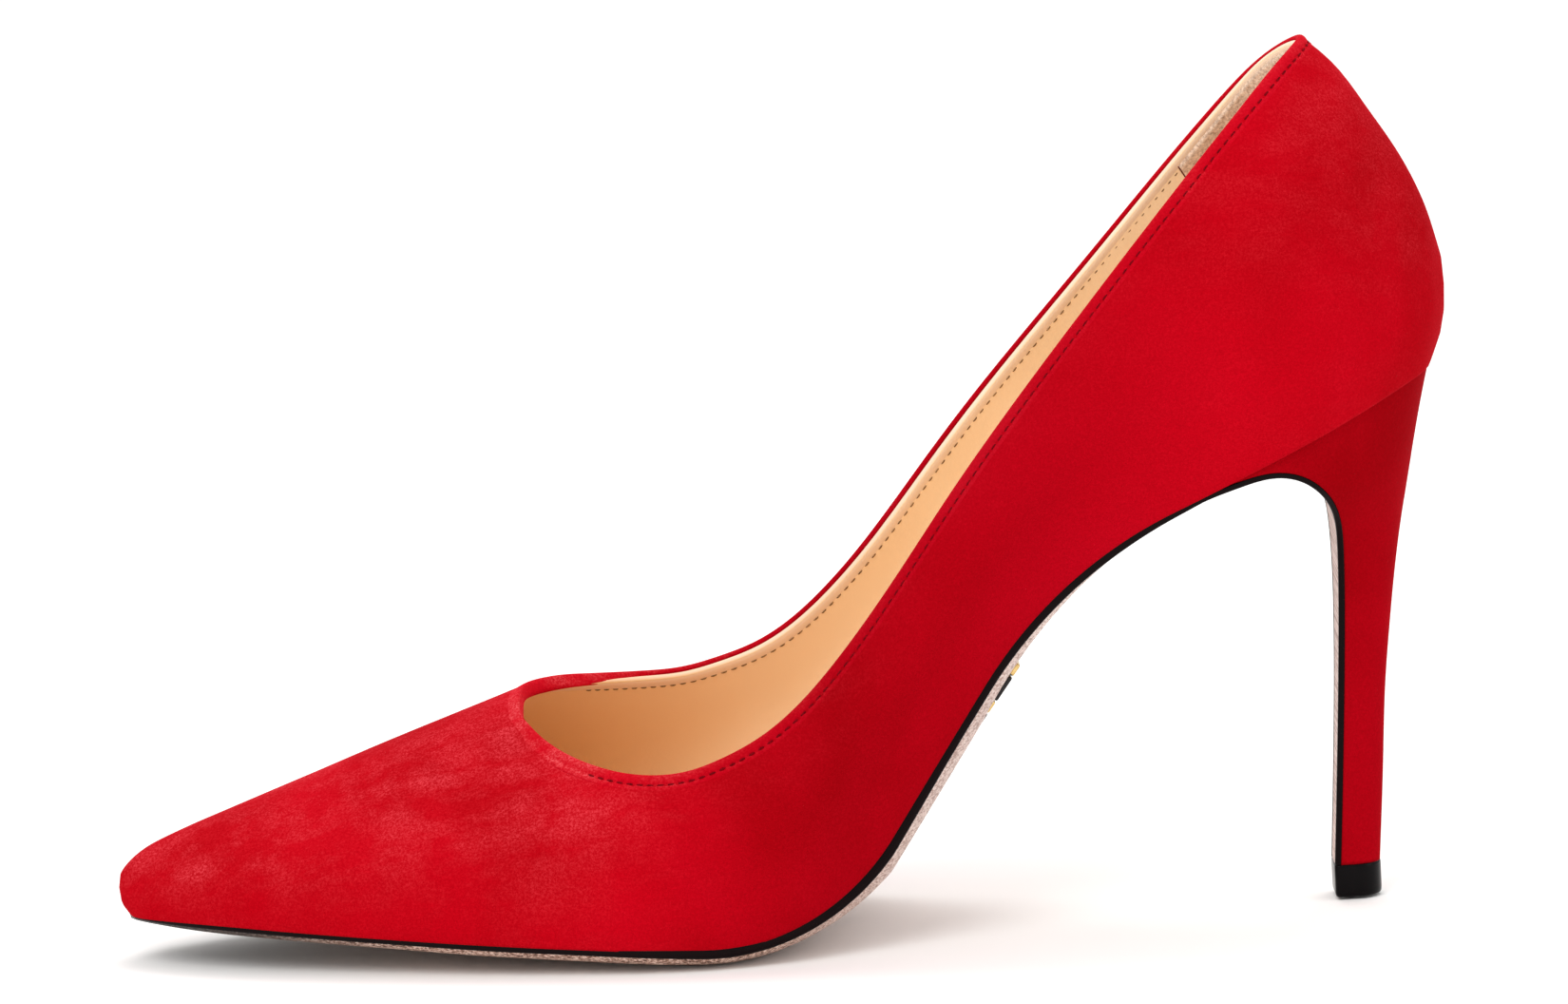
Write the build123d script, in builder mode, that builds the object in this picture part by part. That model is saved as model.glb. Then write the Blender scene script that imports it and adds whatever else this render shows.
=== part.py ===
from build123d import *
import math
import os
import numpy as np

os.makedirs("parts", exist_ok=True)

# High heel pump, left shoe. Millimetres. Toe towards -X, heel towards +X, ground at z = 0.
# -Y is the outer (lateral) side of the foot and +Y the inner (medial) side.
# ---------------------------------------------------------------- driving dimensions
SHOE_LENGTH = 238.0
UPPER_SKIN = 1.2
LINING_SKIN = 0.8
STIFFENER = 0.9
TAPE = 0.4
INSOLE_BOARD = 2.0
FOAM = 1.5
SOCK = 0.8

# foot line: the seam where the upper meets the sole, seen from the side
BALL_X = -17.6
BALL_Z = 3.5
TOE_SPRING = 3.3
TOE_FLAT_X = -95.0
TOE_RADIUS = 300.0
BALL_RADIUS = 39.4
WAIST_SLOPE = 55.3
WAIST_STRAIGHT = 30.3
ARCH_RADIUS = 82.3
SEAT_SLOPE = 24.1

TOP_LIFT_HEIGHT = 5.8
TUBE_RADIUS = 2.4
PIN_RADIUS = 1.45

# thickness built up from the foot line inwards
MARGIN_TOP = UPPER_SKIN + LINING_SKIN
BOARD_TOP = MARGIN_TOP + INSOLE_BOARD
FOAM_TOP = BOARD_TOP + FOAM
SOCK_TOP = FOAM_TOP + SOCK
INNER_OFFSET = UPPER_SKIN + STIFFENER + LINING_SKIN

# last: x, top, half widths at the feather edge, belly and shoulder, centre line y
LAST = [
    (-118.9, 13.9, 1.0, 1.6, 1.1, 3.0),
    (-117.6, 16.5, 3.4, 4.3, 3.0, 3.0),
    (-114.0, 19.4, 7.0, 8.1, 5.7, 3.0),
    (-107.0, 22.5, 12.2, 13.1, 9.4, 3.0),
    (-97.0, 26.2, 17.6, 18.4, 13.4, 2.9),
    (-85.0, 30.6, 22.5, 23.2, 16.8, 2.7),
    (-70.0, 36.2, 27.4, 28.0, 19.8, 2.2),
    (-55.0, 41.6, 31.4, 31.8, 21.8, 1.6),
    (-40.0, 47.0, 34.2, 34.4, 23.8, 0.9),
    (-26.0, 52.0, 35.6, 36.2, 26.0, 0.3),
    (-12.0, 58.0, 34.6, 36.0, 27.4, -0.3),
    (2.0, 67.0, 31.2, 33.8, 27.4, -1.1),
    (16.0, 80.0, 27.0, 30.2, 26.2, -1.2),
    (30.0, 97.0, 23.8, 27.4, 24.4, -1.0),
    (45.0, 115.0, 21.8, 25.8, 23.2, -0.6),
    (60.0, 132.0, 21.6, 25.6, 22.4, -0.2),
    (75.0, 148.0, 22.4, 26.3, 21.2, 0.0),
    (87.0, 157.2, 22.2, 26.4, 19.4, 0.0),
    (95.0, 153.0, 20.8, 25.0, 17.4, 0.0),
    (101.5, 147.2, 18.0, 22.6, 15.0, 0.0),
    (107.5, 138.4, 14.2, 19.0, 12.4, 0.0),
    (112.4, 130.4, 10.0, 14.8, 9.8, 0.0),
    (116.0, 122.4, 5.6, 9.8, 7.0, 0.0),
    (118.0, 115.4, 2.8, 5.3, 4.2, 0.0),
    (118.9, 110.2, 1.0, 1.9, 1.6, 0.0),
]
LAST_SECTIONS = 26
END_TURN = 0.06
# the toe tip and the heel back curve in above the foot line: x and lowest point
TOE_LOW = [(-118.9, 11.0), (-118.3, 9.7), (-117.0, 8.2), (-115.0, 6.4)]
BACK_LOW = [(112.0, 90.8), (114.4, 92.4), (116.2, 96.0), (117.8, 99.4), (118.9, 104.0)]
# places along a section at which its points sit
SECTION_STEPS = [0.0, 0.19, 0.37, 0.5, 0.63, 0.81, 1.0]

# topline: x, height on the centre plane, rise per mm towards the inner side
TOPLINE = [
    (-48.3, 52.0, 0.30),
    (-47.6, 47.2, 0.33),
    (-46.9, 45.2, 0.34),
    (-45.3, 44.1, 0.315),
    (-43.4, 43.3, 0.30),
    (-40.5, 42.4, 0.29),
    (-36.5, 41.2, 0.265),
    (-30.3, 39.8, 0.23),
    (-23.5, 39.0, 0.195),
    (-18.0, 39.1, 0.168),
    (-12.0, 40.5, 0.145),
    (-5.2, 43.1, 0.118),
    (8.0, 53.4, 0.083),
    (30.0, 80.5, 0.050),
    (56.3, 111.4, 0.0),
    (82.8, 141.2, 0.0),
    (90.5, 148.8, 0.0),
    (95.5, 152.6, 0.0),
]

# outsole: x, half width, edge thickness, crown depth, centre line y
SOLE = [
    (-117.6, 1.4, 0.9, 0.3, 3.0),
    (-116.4, 3.9, 0.9, 0.6, 3.0),
    (-113.0, 7.6, 1.0, 0.9, 3.0),
    (-107.0, 12.4, 1.1, 1.3, 3.0),
    (-97.0, 17.9, 1.2, 1.6, 2.9),
    (-85.0, 22.8, 1.2, 1.8, 2.7),
    (-70.0, 27.8, 1.2, 2.0, 2.2),
    (-55.0, 31.8, 1.3, 2.2, 1.6),
    (-40.0, 34.6, 1.3, 2.3, 0.9),
    (-26.0, 36.0, 1.4, 2.4, 0.0),
    (-12.0, 35.0, 1.6, 2.5, -0.6),
    (2.0, 31.6, 1.8, 3.0, -1.1),
    (16.0, 27.4, 1.8, 3.8, -1.2),
    (30.0, 24.2, 1.5, 4.1, -1.0),
    (45.0, 22.2, 1.6, 3.3, -0.6),
    (60.0, 21.9, 1.5, 1.8, -0.2),
    (74.0, 22.7, 1.0, 0.3, 0.0),
    (82.0, 22.8, 0.9, 0.1, 0.0),
]
SOLE_SECTIONS = 24

# heel sections: z, back x, depth of the rounded back, half width
HEEL = [
    (TOP_LIFT_HEIGHT, 103.4, 5.0, 4.4),
    (20.0, 104.5, 5.2, 4.7),
    (36.0, 105.6, 5.8, 5.3),
    (50.0, 107.2, 7.2, 6.6),
    (60.0, 108.6, 10.0, 8.8),
    (67.0, 109.8, 15.0, 12.2),
    (72.0, 110.8, 22.5, 17.2),
    (76.0, 111.6, 31.0, 21.8),
    (80.0, 112.4, 32.5, 22.6),
    (87.0, 113.9, 31.0, 22.6),
    (98.0, 116.6, 27.0, 22.0),
]
# breast of the heel from the waist down to the top lift
BREAST = [
    (74.0, 75.0),
    (80.0, 77.0),
    (86.0, 78.3),
    (90.4, 77.6),
    (93.8, 75.4),
    (96.0, 72.4),
    (97.2, 69.0),
    (97.7, 64.0),
    (97.6, 50.0),
    (97.0, 36.0),
    (96.1, 20.0),
    (95.2, TOP_LIFT_HEIGHT),
]
FLAP = 1.0


# ---------------------------------------------------------------- foot line
def foot_line(lift):
    """Joints and arc midpoints of the foot line, moved `lift` mm along its normal."""
    toe = math.radians(TOE_SPRING)
    waist = math.radians(WAIST_SLOPE)
    seat = math.radians(SEAT_SLOPE)
    flat_z = BALL_Z + (BALL_X - TOE_FLAT_X) * math.tan(toe)
    toe_x = TOE_FLAT_X - TOE_RADIUS * math.sin(toe)
    toe_z = flat_z + TOE_RADIUS * (1 - math.cos(toe))
    toe_mid_x = toe_x + TOE_RADIUS * math.sin(toe / 2)
    toe_mid_z = toe_z - TOE_RADIUS * (1 - math.cos(toe / 2))
    mid = (waist - toe) / 2
    centre_x = BALL_X + BALL_RADIUS * math.sin(toe)
    centre_z = BALL_Z + BALL_RADIUS * math.cos(toe)
    up_x = centre_x + BALL_RADIUS * math.sin(waist)
    up_z = centre_z - BALL_RADIUS * math.cos(waist)
    arch_x = up_x + WAIST_STRAIGHT * math.cos(waist)
    arch_z = up_z + WAIST_STRAIGHT * math.sin(waist)
    hub_x = arch_x + ARCH_RADIUS * math.sin(waist)
    hub_z = arch_z - ARCH_RADIUS * math.cos(waist)
    half = (waist + seat) / 2
    seat_x = hub_x - ARCH_RADIUS * math.sin(seat)
    seat_z = hub_z + ARCH_RADIUS * math.cos(seat)
    raw = [
        (-135.0, toe_z, 0.0),
        (toe_x, toe_z, 0.0),
        (toe_mid_x, toe_mid_z, -toe / 2),
        (TOE_FLAT_X, flat_z, -toe),
        (BALL_X, BALL_Z, -toe),
        (centre_x + BALL_RADIUS * math.sin(mid), centre_z - BALL_RADIUS * math.cos(mid), mid),
        (up_x, up_z, waist),
        (arch_x, arch_z, waist),
        (hub_x - ARCH_RADIUS * math.sin(half), hub_z + ARCH_RADIUS * math.cos(half), half),
        (seat_x, seat_z, seat),
        (135.0, seat_z + (135.0 - seat_x) * math.tan(seat), seat),
    ]
    return [(x - lift * math.sin(a), z + lift * math.cos(a)) for x, z, a in raw]


def foot_height(x):
    """Height and slope angle of the foot line at x."""
    p = foot_line(0)
    if x < p[1][0]:
        return p[1][1], 0.0
    if x < p[3][0]:
        a = math.asin((x - p[1][0]) / TOE_RADIUS)
        return p[1][1] - TOE_RADIUS * (1 - math.cos(a)), -a
    if x < p[4][0]:
        a = math.radians(TOE_SPRING)
        return BALL_Z + (BALL_X - x) * math.tan(a), -a
    if x < p[6][0]:
        toe = math.radians(TOE_SPRING)
        a = math.asin((x - BALL_X) / BALL_RADIUS - math.sin(toe))
        return BALL_Z + BALL_RADIUS * (math.cos(toe) - math.cos(a)), a
    if x < p[7][0]:
        a = math.radians(WAIST_SLOPE)
        return p[6][1] + (x - p[6][0]) * math.tan(a), a
    if x < p[9][0]:
        waist = math.radians(WAIST_SLOPE)
        a = math.asin(math.sin(waist) - (x - p[7][0]) / ARCH_RADIUS)
        return p[7][1] + ARCH_RADIUS * (math.cos(a) - math.cos(waist)), a
    a = math.radians(SEAT_SLOPE)
    return p[9][1] + (x - p[9][0]) * math.tan(a), a


def above(lift):
    """Everything above the foot line moved up by `lift`."""
    p = foot_line(lift)
    with BuildPart() as region:
        with BuildSketch(Plane.XZ):
            with BuildLine():
                Line(p[0], p[1])
                ThreePointArc(p[1], p[2], p[3])
                Line(p[3], p[4])
                ThreePointArc(p[4], p[5], p[6])
                Line(p[6], p[7])
                ThreePointArc(p[7], p[8], p[9])
                Line(p[9], p[10])
                Polyline(p[10], (135.0, 220.0), (-135.0, 220.0), p[0])
            make_face()
        extrude(amount=60, both=True)
    return region.part


# ---------------------------------------------------------------- lofted envelopes
def faired(table, sections):
    """Smooth the table into evenly turning sections, closest together at its first and last x."""
    rows = np.array(table, dtype=float)
    first = rows[0, 0]
    span = rows[-1, 0] - first
    place = np.arccos(1 - 2 * (rows[:, 0] - first) / span)
    slope = np.gradient(rows, place, axis=0)
    out = []
    for u in np.linspace(END_TURN, math.pi - END_TURN, sections):
        i = min(max(int(np.searchsorted(place, u)) - 1, 0), len(rows) - 2)
        gap = place[i + 1] - place[i]
        t = (u - place[i]) / gap
        row = (2 * t**3 - 3 * t**2 + 1) * rows[i] + (t**3 - 2 * t**2 + t) * gap * slope[i]
        row += (3 * t**2 - 2 * t**3) * rows[i + 1] + (t**3 - t**2) * gap * slope[i + 1]
        row[0] = first + span * (1 - math.cos(u)) / 2
        out.append([float(v) for v in row])
    return out


def lowest(x):
    """Bottom of a last section, buried under the foot line except at the two ends."""
    if x < TOE_LOW[-1][0]:
        return float(np.interp(x, *zip(*TOE_LOW)))
    if x > BACK_LOW[0][0]:
        return float(np.interp(x, *zip(*BACK_LOW)))
    return foot_height(x)[0] - 2.0


def last_solid(inset):
    """The foot-shaped envelope, drawn in by `inset` all round."""
    with BuildPart() as last:
        for x, top, feather, belly, shoulder, centre in faired(LAST, LAST_SECTIONS):
            x_in = x * (1 - inset / (SHOE_LENGTH / 2))
            low = lowest(x)
            drop = min(1.0, (top - low) / 12.0) if x < 80 else 0.35
            crown = top - inset * drop
            tall = crown - low
            w = [v - inset * min(1.0, v / 22.0) for v in (feather, belly, shoulder)]
            rows = [(w[0], low), (w[1], low + 0.30 * tall), (w[2], low + 0.68 * tall)]
            right = [(centre + a, b) for a, b in rows]
            left = [(centre - a, b) for a, b in reversed(rows)]
            points = [Vector(*p) for p in (*right, (centre, crown), *left)]
            with BuildSketch(Plane.YZ.offset(x_in)):
                with BuildLine():
                    add(Edge.make_spline(points, parameters=SECTION_STEPS))
                    Line(left[-1], right[0])
                make_face()
        loft()
    return last.part


def topline_region(drop):
    """Everything above the topline lowered by `drop`."""
    reach = np.cumsum([0.0] + [math.dist(p[:2], q[:2]) for p, q in zip(TOPLINE, TOPLINE[1:])])
    steps = [float(v) for v in reach / reach[-1]]
    with BuildPart() as region:
        for side in (-1, 1):
            edge = [(x, z + side * 40.0 * rise - drop) for x, z, rise in TOPLINE]
            with BuildSketch(Plane.XZ.offset(-side * 40.0)):
                with BuildLine():
                    add(Edge.make_spline([Vector(*p) for p in edge], parameters=steps))
                    Polyline(edge[-1], (125.0, 175.0 - drop), (-48.3, 175.0), edge[0])
                make_face()
        loft(ruled=True)
    return region.part


def margin_opening(low, high):
    """Space inside the lasting margin, between two levels above the foot line."""
    inner = [(-96.0, 2.8, 4.5), (-80.0, 2.5, 10.5), (-60.0, 1.8, 16.5), (-35.0, 0.6, 20.5)]
    inner += [(-10.0, -0.9, 19.0), (10.0, -1.5, 14.0), (35.0, -1.1, 9.0), (60.0, -0.2, 8.2)]
    inner += [(85.0, 0.0, 8.4), (99.0, 0.0, 6.8)]
    right = [(x, c - w) for x, c, w in inner]
    left = [(x, c + w) for x, c, w in reversed(inner)]
    with BuildPart() as space:
        with BuildSketch():
            with BuildLine():
                Spline(*right)
                Spline(*left)
                ThreePointArc(right[-1], (105.2, 0.0), left[0])
                ThreePointArc(left[-1], (-100.5, 2.9), right[0])
            make_face()
        extrude(amount=120)
        add(above(low), mode=Mode.INTERSECT)
        add(above(high), mode=Mode.SUBTRACT)
    return space.part


def sole_envelope():
    """Outsole blank: square edge, crowned underside, thin at the toe and at the breast."""
    with BuildPart() as blank:
        for x, width, edge, crown, centre in faired(SOLE, SOLE_SECTIONS):
            height, slope = foot_height(x)
            top = height + 4.0
            rim = height - edge / math.cos(slope)
            keel = rim - crown / math.cos(slope)
            a = (centre + width, top)
            b = (centre + width, rim)
            c = (centre - width, rim)
            d = (centre - width, top)
            with BuildSketch(Plane.YZ.offset(x)):
                with BuildLine():
                    Line(a, b)
                    ThreePointArc(b, (centre, keel), c)
                    Polyline(c, d, a)
                make_face()
        loft()
    return blank.part


def heel_envelope(inset):
    """Heel block open towards the toe, its sides and back drawn in by `inset`."""
    with BuildPart() as block:
        for z, back, depth, half in HEEL:
            w = half - inset
            a = depth - inset
            with BuildSketch(Plane.XY.offset(z)):
                with BuildLine():
                    EllipticalCenterArc((back - depth, 0), a, w, start_angle=-90, arc_size=180)
                    Polyline((back - depth, w), (64.0, w), (64.0, -w), (back - depth, -w))
                make_face()
        loft()
        add(above(0), mode=Mode.SUBTRACT)
    return block.part


def behind_breast(step):
    """Everything above and behind the breast curve moved `step` mm into the heel."""
    points = []
    for i, (x, z) in enumerate(BREAST):
        before = BREAST[max(i - 1, 0)]
        after = BREAST[min(i + 1, len(BREAST) - 1)]
        length = math.hypot(after[0] - before[0], after[1] - before[1])
        nx = -(after[1] - before[1]) / length
        nz = (after[0] - before[0]) / length
        points.append((x + nx * step, z + nz * step))
    points[-1] = (points[-1][0], TOP_LIFT_HEIGHT)
    with BuildPart() as region:
        with BuildSketch(Plane.XZ):
            with BuildLine():
                Spline(*points)
                Polyline(points[-1], (130.0, TOP_LIFT_HEIGHT), (130.0, 140.0))
                Polyline((130.0, 140.0), (points[0][0], 140.0), points[0])
            make_face()
        extrude(amount=60, both=True)
    return region.part


def rod(start, end, radius, head=0.0, head_length=0.0):
    """Round bar in the centre plane, or off it when points carry a y value."""
    axis = Vector(*end) - Vector(*start)
    with BuildPart() as bar:
        with BuildSketch(Plane(origin=start, z_dir=axis)):
            Circle(radius)
        extrude(amount=axis.length)
        if head > 0:
            with BuildSketch(Plane(origin=start, z_dir=axis)):
                Circle(head)
            extrude(amount=head_length)
    return bar.part


def on_foot(x, lift):
    """Point at x on the foot line, moved `lift` along the normal, in the centre plane."""
    z, slope = foot_height(x)
    return (x - lift * math.sin(slope), 0.0, z + lift * math.cos(slope))


outer_last = last_solid(0)
upper_inside = last_solid(UPPER_SKIN)
tape_inside = last_solid(UPPER_SKIN + TAPE)
stiffener_inside = last_solid(UPPER_SKIN + STIFFENER)
cavity = last_solid(INNER_OFFSET)
mouth = topline_region(0)
heel_outside = heel_envelope(0)
heel_inside = heel_envelope(0.8)

# ---------------------------------------------------------------- fasteners
screw_head = on_foot(101.0, BOARD_TOP - 0.2)
with BuildPart() as heel_screw:
    add(rod(screw_head, (103.4, 0.0, 64.0), 1.8, 4.0, 1.2))
    add(above(BOARD_TOP), mode=Mode.SUBTRACT)

with BuildPart() as heel_nails:
    for x, y in ((84.0, 12.5), (84.0, -12.5), (96.0, 12.0), (96.0, -12.0), (109.6, 0.0)):
        foot, slope = foot_height(x)
        top = foot + BOARD_TOP / math.cos(slope)
        with BuildSketch(Plane.XY.offset(top + 1.0)):
            with Locations((x, y)):
                Circle(0.8)
        extrude(amount=-(top + 1.0 - max(foot - 11.0, 79.5)))
    add(above(BOARD_TOP), mode=Mode.SUBTRACT)

with BuildPart() as shank_rivet_front:
    add(rod(on_foot(12.0, 0.2), on_foot(12.0, BOARD_TOP), 1.5, 2.4, 0.2))

with BuildPart() as shank_rivet_rear:
    add(rod(on_foot(80.0, 0.2), on_foot(80.0, BOARD_TOP), 1.5, 2.4, 0.2))

# ---------------------------------------------------------------- upper and what is inside it
with BuildPart() as upper:
    add(outer_last)
    add(above(0), mode=Mode.INTERSECT)
    with BuildPart(mode=Mode.SUBTRACT):
        add(upper_inside)
        add(above(UPPER_SKIN), mode=Mode.INTERSECT)
    add(mouth, mode=Mode.SUBTRACT)
    add(margin_opening(-1.0, UPPER_SKIN + 1.0), mode=Mode.SUBTRACT)
    add(heel_nails.part, mode=Mode.SUBTRACT)

with BuildPart() as tape_pocket:
    add(outer_last)
    add(tape_inside, mode=Mode.SUBTRACT)
    add(topline_region(6.0), mode=Mode.INTERSECT)
    add(topline_region(1.0), mode=Mode.SUBTRACT)

with BuildPart() as toe_pocket:
    add(outer_last)
    add(stiffener_inside, mode=Mode.SUBTRACT)
    add(above(MARGIN_TOP), mode=Mode.INTERSECT)
    with Locations((-110, 0, 30)):
        Box(50, 90, 90, mode=Mode.INTERSECT)

with BuildPart() as counter_pocket:
    add(outer_last)
    add(stiffener_inside, mode=Mode.SUBTRACT)
    add(above(MARGIN_TOP), mode=Mode.INTERSECT)
    add(topline_region(9.0), mode=Mode.SUBTRACT)
    with BuildSketch(Plane.XZ):
        with BuildLine():
            Spline((60.0, 60.0), (66.0, 92.0), (84.0, 122.0), (98.0, 136.0), (125.0, 140.0))
            Polyline((125.0, 140.0), (125.0, 60.0), (60.0, 60.0))
        make_face()
    extrude(amount=60, both=True, mode=Mode.INTERSECT)

with BuildPart() as topline_tape:
    add(upper_inside)
    add(tape_pocket.part, mode=Mode.INTERSECT)

with BuildPart() as toe_puff:
    add(upper_inside)
    add(toe_pocket.part, mode=Mode.INTERSECT)

with BuildPart() as heel_counter:
    add(upper_inside)
    add(counter_pocket.part, mode=Mode.INTERSECT)

with BuildPart() as heel_grip:
    add(cavity)
    add(last_solid(INNER_OFFSET + 0.7), mode=Mode.SUBTRACT)
    add(above(SOCK_TOP + 9.0), mode=Mode.INTERSECT)
    add(topline_region(5.5), mode=Mode.SUBTRACT)
    with BuildSketch(Plane.XZ):
        with BuildLine():
            Polyline((84.0, 90.0), (78.0, 150.0), (125.0, 150.0), (125.0, 90.0), close=True)
        make_face()
    extrude(amount=60, both=True, mode=Mode.INTERSECT)

with BuildPart() as lining:
    add(upper_inside)
    add(above(UPPER_SKIN), mode=Mode.INTERSECT)
    with BuildPart(mode=Mode.SUBTRACT):
        add(cavity)
        add(above(MARGIN_TOP), mode=Mode.INTERSECT)
    add(topline_region(0.4), mode=Mode.SUBTRACT)
    add(margin_opening(0.5, MARGIN_TOP + 1.0), mode=Mode.SUBTRACT)
    add(toe_pocket.part, mode=Mode.SUBTRACT)
    add(counter_pocket.part, mode=Mode.SUBTRACT)
    add(tape_pocket.part, mode=Mode.SUBTRACT)
    add(heel_nails.part, mode=Mode.SUBTRACT)

with BuildPart() as shank:
    with BuildSketch():
        with Locations((48.0, 0)):
            SlotOverall(84.0, 11.0)
    extrude(amount=120)
    add(above(0.4), mode=Mode.INTERSECT)
    add(above(1.9), mode=Mode.SUBTRACT)
    add(shank_rivet_front.part, mode=Mode.SUBTRACT)
    add(shank_rivet_rear.part, mode=Mode.SUBTRACT)

with BuildPart() as bottom_filler:
    add(margin_opening(0, MARGIN_TOP))
    add(shank.part, mode=Mode.SUBTRACT)
    add(shank_rivet_front.part, mode=Mode.SUBTRACT)
    add(shank_rivet_rear.part, mode=Mode.SUBTRACT)
    add(heel_screw.part, mode=Mode.SUBTRACT)

with BuildPart() as insole_board:
    add(cavity)
    add(above(MARGIN_TOP), mode=Mode.INTERSECT)
    add(above(BOARD_TOP), mode=Mode.SUBTRACT)
    add(shank_rivet_front.part, mode=Mode.SUBTRACT)
    add(shank_rivet_rear.part, mode=Mode.SUBTRACT)
    add(heel_screw.part, mode=Mode.SUBTRACT)
    add(heel_nails.part, mode=Mode.SUBTRACT)

with BuildPart() as heel_pad:
    with BuildSketch():
        with Locations((92.0, 0)):
            Ellipse(14.0, 12.0)
    extrude(amount=130)
    add(above(BOARD_TOP), mode=Mode.INTERSECT)
    add(above(FOAM_TOP), mode=Mode.SUBTRACT)

with BuildPart() as sock_foam:
    add(cavity)
    add(above(BOARD_TOP), mode=Mode.INTERSECT)
    add(above(FOAM_TOP), mode=Mode.SUBTRACT)
    add(heel_pad.part, mode=Mode.SUBTRACT)

with BuildPart() as sock_lining:
    add(cavity)
    add(above(FOAM_TOP), mode=Mode.INTERSECT)
    add(above(SOCK_TOP), mode=Mode.SUBTRACT)

# ---------------------------------------------------------------- sole and heel
badge_foot, badge_slope = foot_height(37.6)
badge_drop = (1.6 + 3.7) / math.cos(badge_slope)
badge_tilt = badge_slope + math.radians(2.0)
with BuildPart() as sole_badge:
    badge_plane = Plane(
        origin=(37.6, -0.8, badge_foot - badge_drop - 2.25),
        x_dir=(math.cos(badge_tilt), 0, math.sin(badge_tilt)),
        z_dir=(-math.sin(badge_tilt), 0, math.cos(badge_tilt)),
    )
    with BuildSketch(badge_plane):
        RectangleRounded(14.0, 6.0, 1.4)
    extrude(amount=2.6)

with BuildPart() as outsole:
    add(sole_envelope())
    add(above(0), mode=Mode.SUBTRACT)
    with Locations((-20, 0, -10)):
        Box(240, 120, 20, mode=Mode.SUBTRACT)
    with Locations((124, 0, 60)):
        Box(100, 120, 140, mode=Mode.SUBTRACT)
    with BuildPart():
        add(heel_outside)
        add(behind_breast(0), mode=Mode.INTERSECT)
        add(behind_breast(FLAP), mode=Mode.SUBTRACT)
    add(sole_badge.part, mode=Mode.SUBTRACT)

tube_low = (98.9, 0.0, 0.9)
tube_high = (102.4, 0.0, 58.0)
with BuildPart() as heel_tube:
    add(rod(tube_low, tube_high, TUBE_RADIUS))
    add(rod(tube_low, tube_high, PIN_RADIUS + 0.05), mode=Mode.SUBTRACT)
    with Locations((99, 0, 0)):
        Box(20, 20, TOP_LIFT_HEIGHT * 2, mode=Mode.SUBTRACT)

with BuildPart() as heel_core:
    add(heel_inside)
    add(behind_breast(FLAP), mode=Mode.INTERSECT)
    add(rod(tube_low, tube_high, TUBE_RADIUS), mode=Mode.SUBTRACT)
    add(heel_screw.part, mode=Mode.SUBTRACT)
    add(heel_nails.part, mode=Mode.SUBTRACT)
    with Locations((24, 0, 60)):
        Box(100, 120, 140, mode=Mode.SUBTRACT)

with BuildPart() as heel_cover:
    add(heel_outside)
    add(behind_breast(FLAP), mode=Mode.INTERSECT)
    add(heel_inside, mode=Mode.SUBTRACT)
    with Locations((24, 0, 60)):
        Box(100, 120, 140, mode=Mode.SUBTRACT)

lift_back = HEEL[0][1]
lift_depth = HEEL[0][2]
lift_half = HEEL[0][3]
pin_low = (99.0, 0.0, 2.53)
pin_high = (100.4, 0.0, 25.4)
with BuildPart() as top_lift:
    with BuildSketch():
        with BuildLine():
            lift_centre = lift_back - lift_depth
            EllipticalCenterArc(
                (lift_centre, 0), lift_depth + 0.1, lift_half + 0.2, start_angle=-90, arc_size=180
            )
            Polyline((lift_centre, lift_half + 0.2), (95.0, lift_half + 0.1))
            Polyline((95.0, lift_half + 0.1), (95.0, -lift_half - 0.1), (lift_centre, -lift_half - 0.2))
        make_face()
    extrude(amount=TOP_LIFT_HEIGHT)
    add(rod(pin_low, pin_high, PIN_RADIUS), mode=Mode.SUBTRACT)

with BuildPart() as top_lift_pin:
    add(rod(pin_low, pin_high, PIN_RADIUS))

NODES = {
    "upper": upper,
    "topline_tape": topline_tape,
    "toe_puff": toe_puff,
    "heel_counter": heel_counter,
    "lining": lining,
    "heel_grip": heel_grip,
    "insole_board": insole_board,
    "shank": shank,
    "shank_rivet_front": shank_rivet_front,
    "shank_rivet_rear": shank_rivet_rear,
    "bottom_filler": bottom_filler,
    "sock_foam": sock_foam,
    "heel_pad": heel_pad,
    "sock_lining": sock_lining,
    "outsole": outsole,
    "sole_badge": sole_badge,
    "heel_core": heel_core,
    "heel_cover": heel_cover,
    "heel_tube": heel_tube,
    "heel_screw": heel_screw,
    "heel_nails": heel_nails,
    "top_lift": top_lift,
    "top_lift_pin": top_lift_pin,
}
for name, builder in NODES.items():
    builder.part.label = name
    export_step(builder.part, f"parts/{name}.step")
    box = builder.part.bounding_box()
    print(name, len(builder.part.solids()), round(builder.part.volume, 1), builder.part.is_valid, box)
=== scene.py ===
import math
from math import cos, pi, radians, sin

import bmesh
import bpy
import numpy as np
from mathutils import Matrix, Vector


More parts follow.
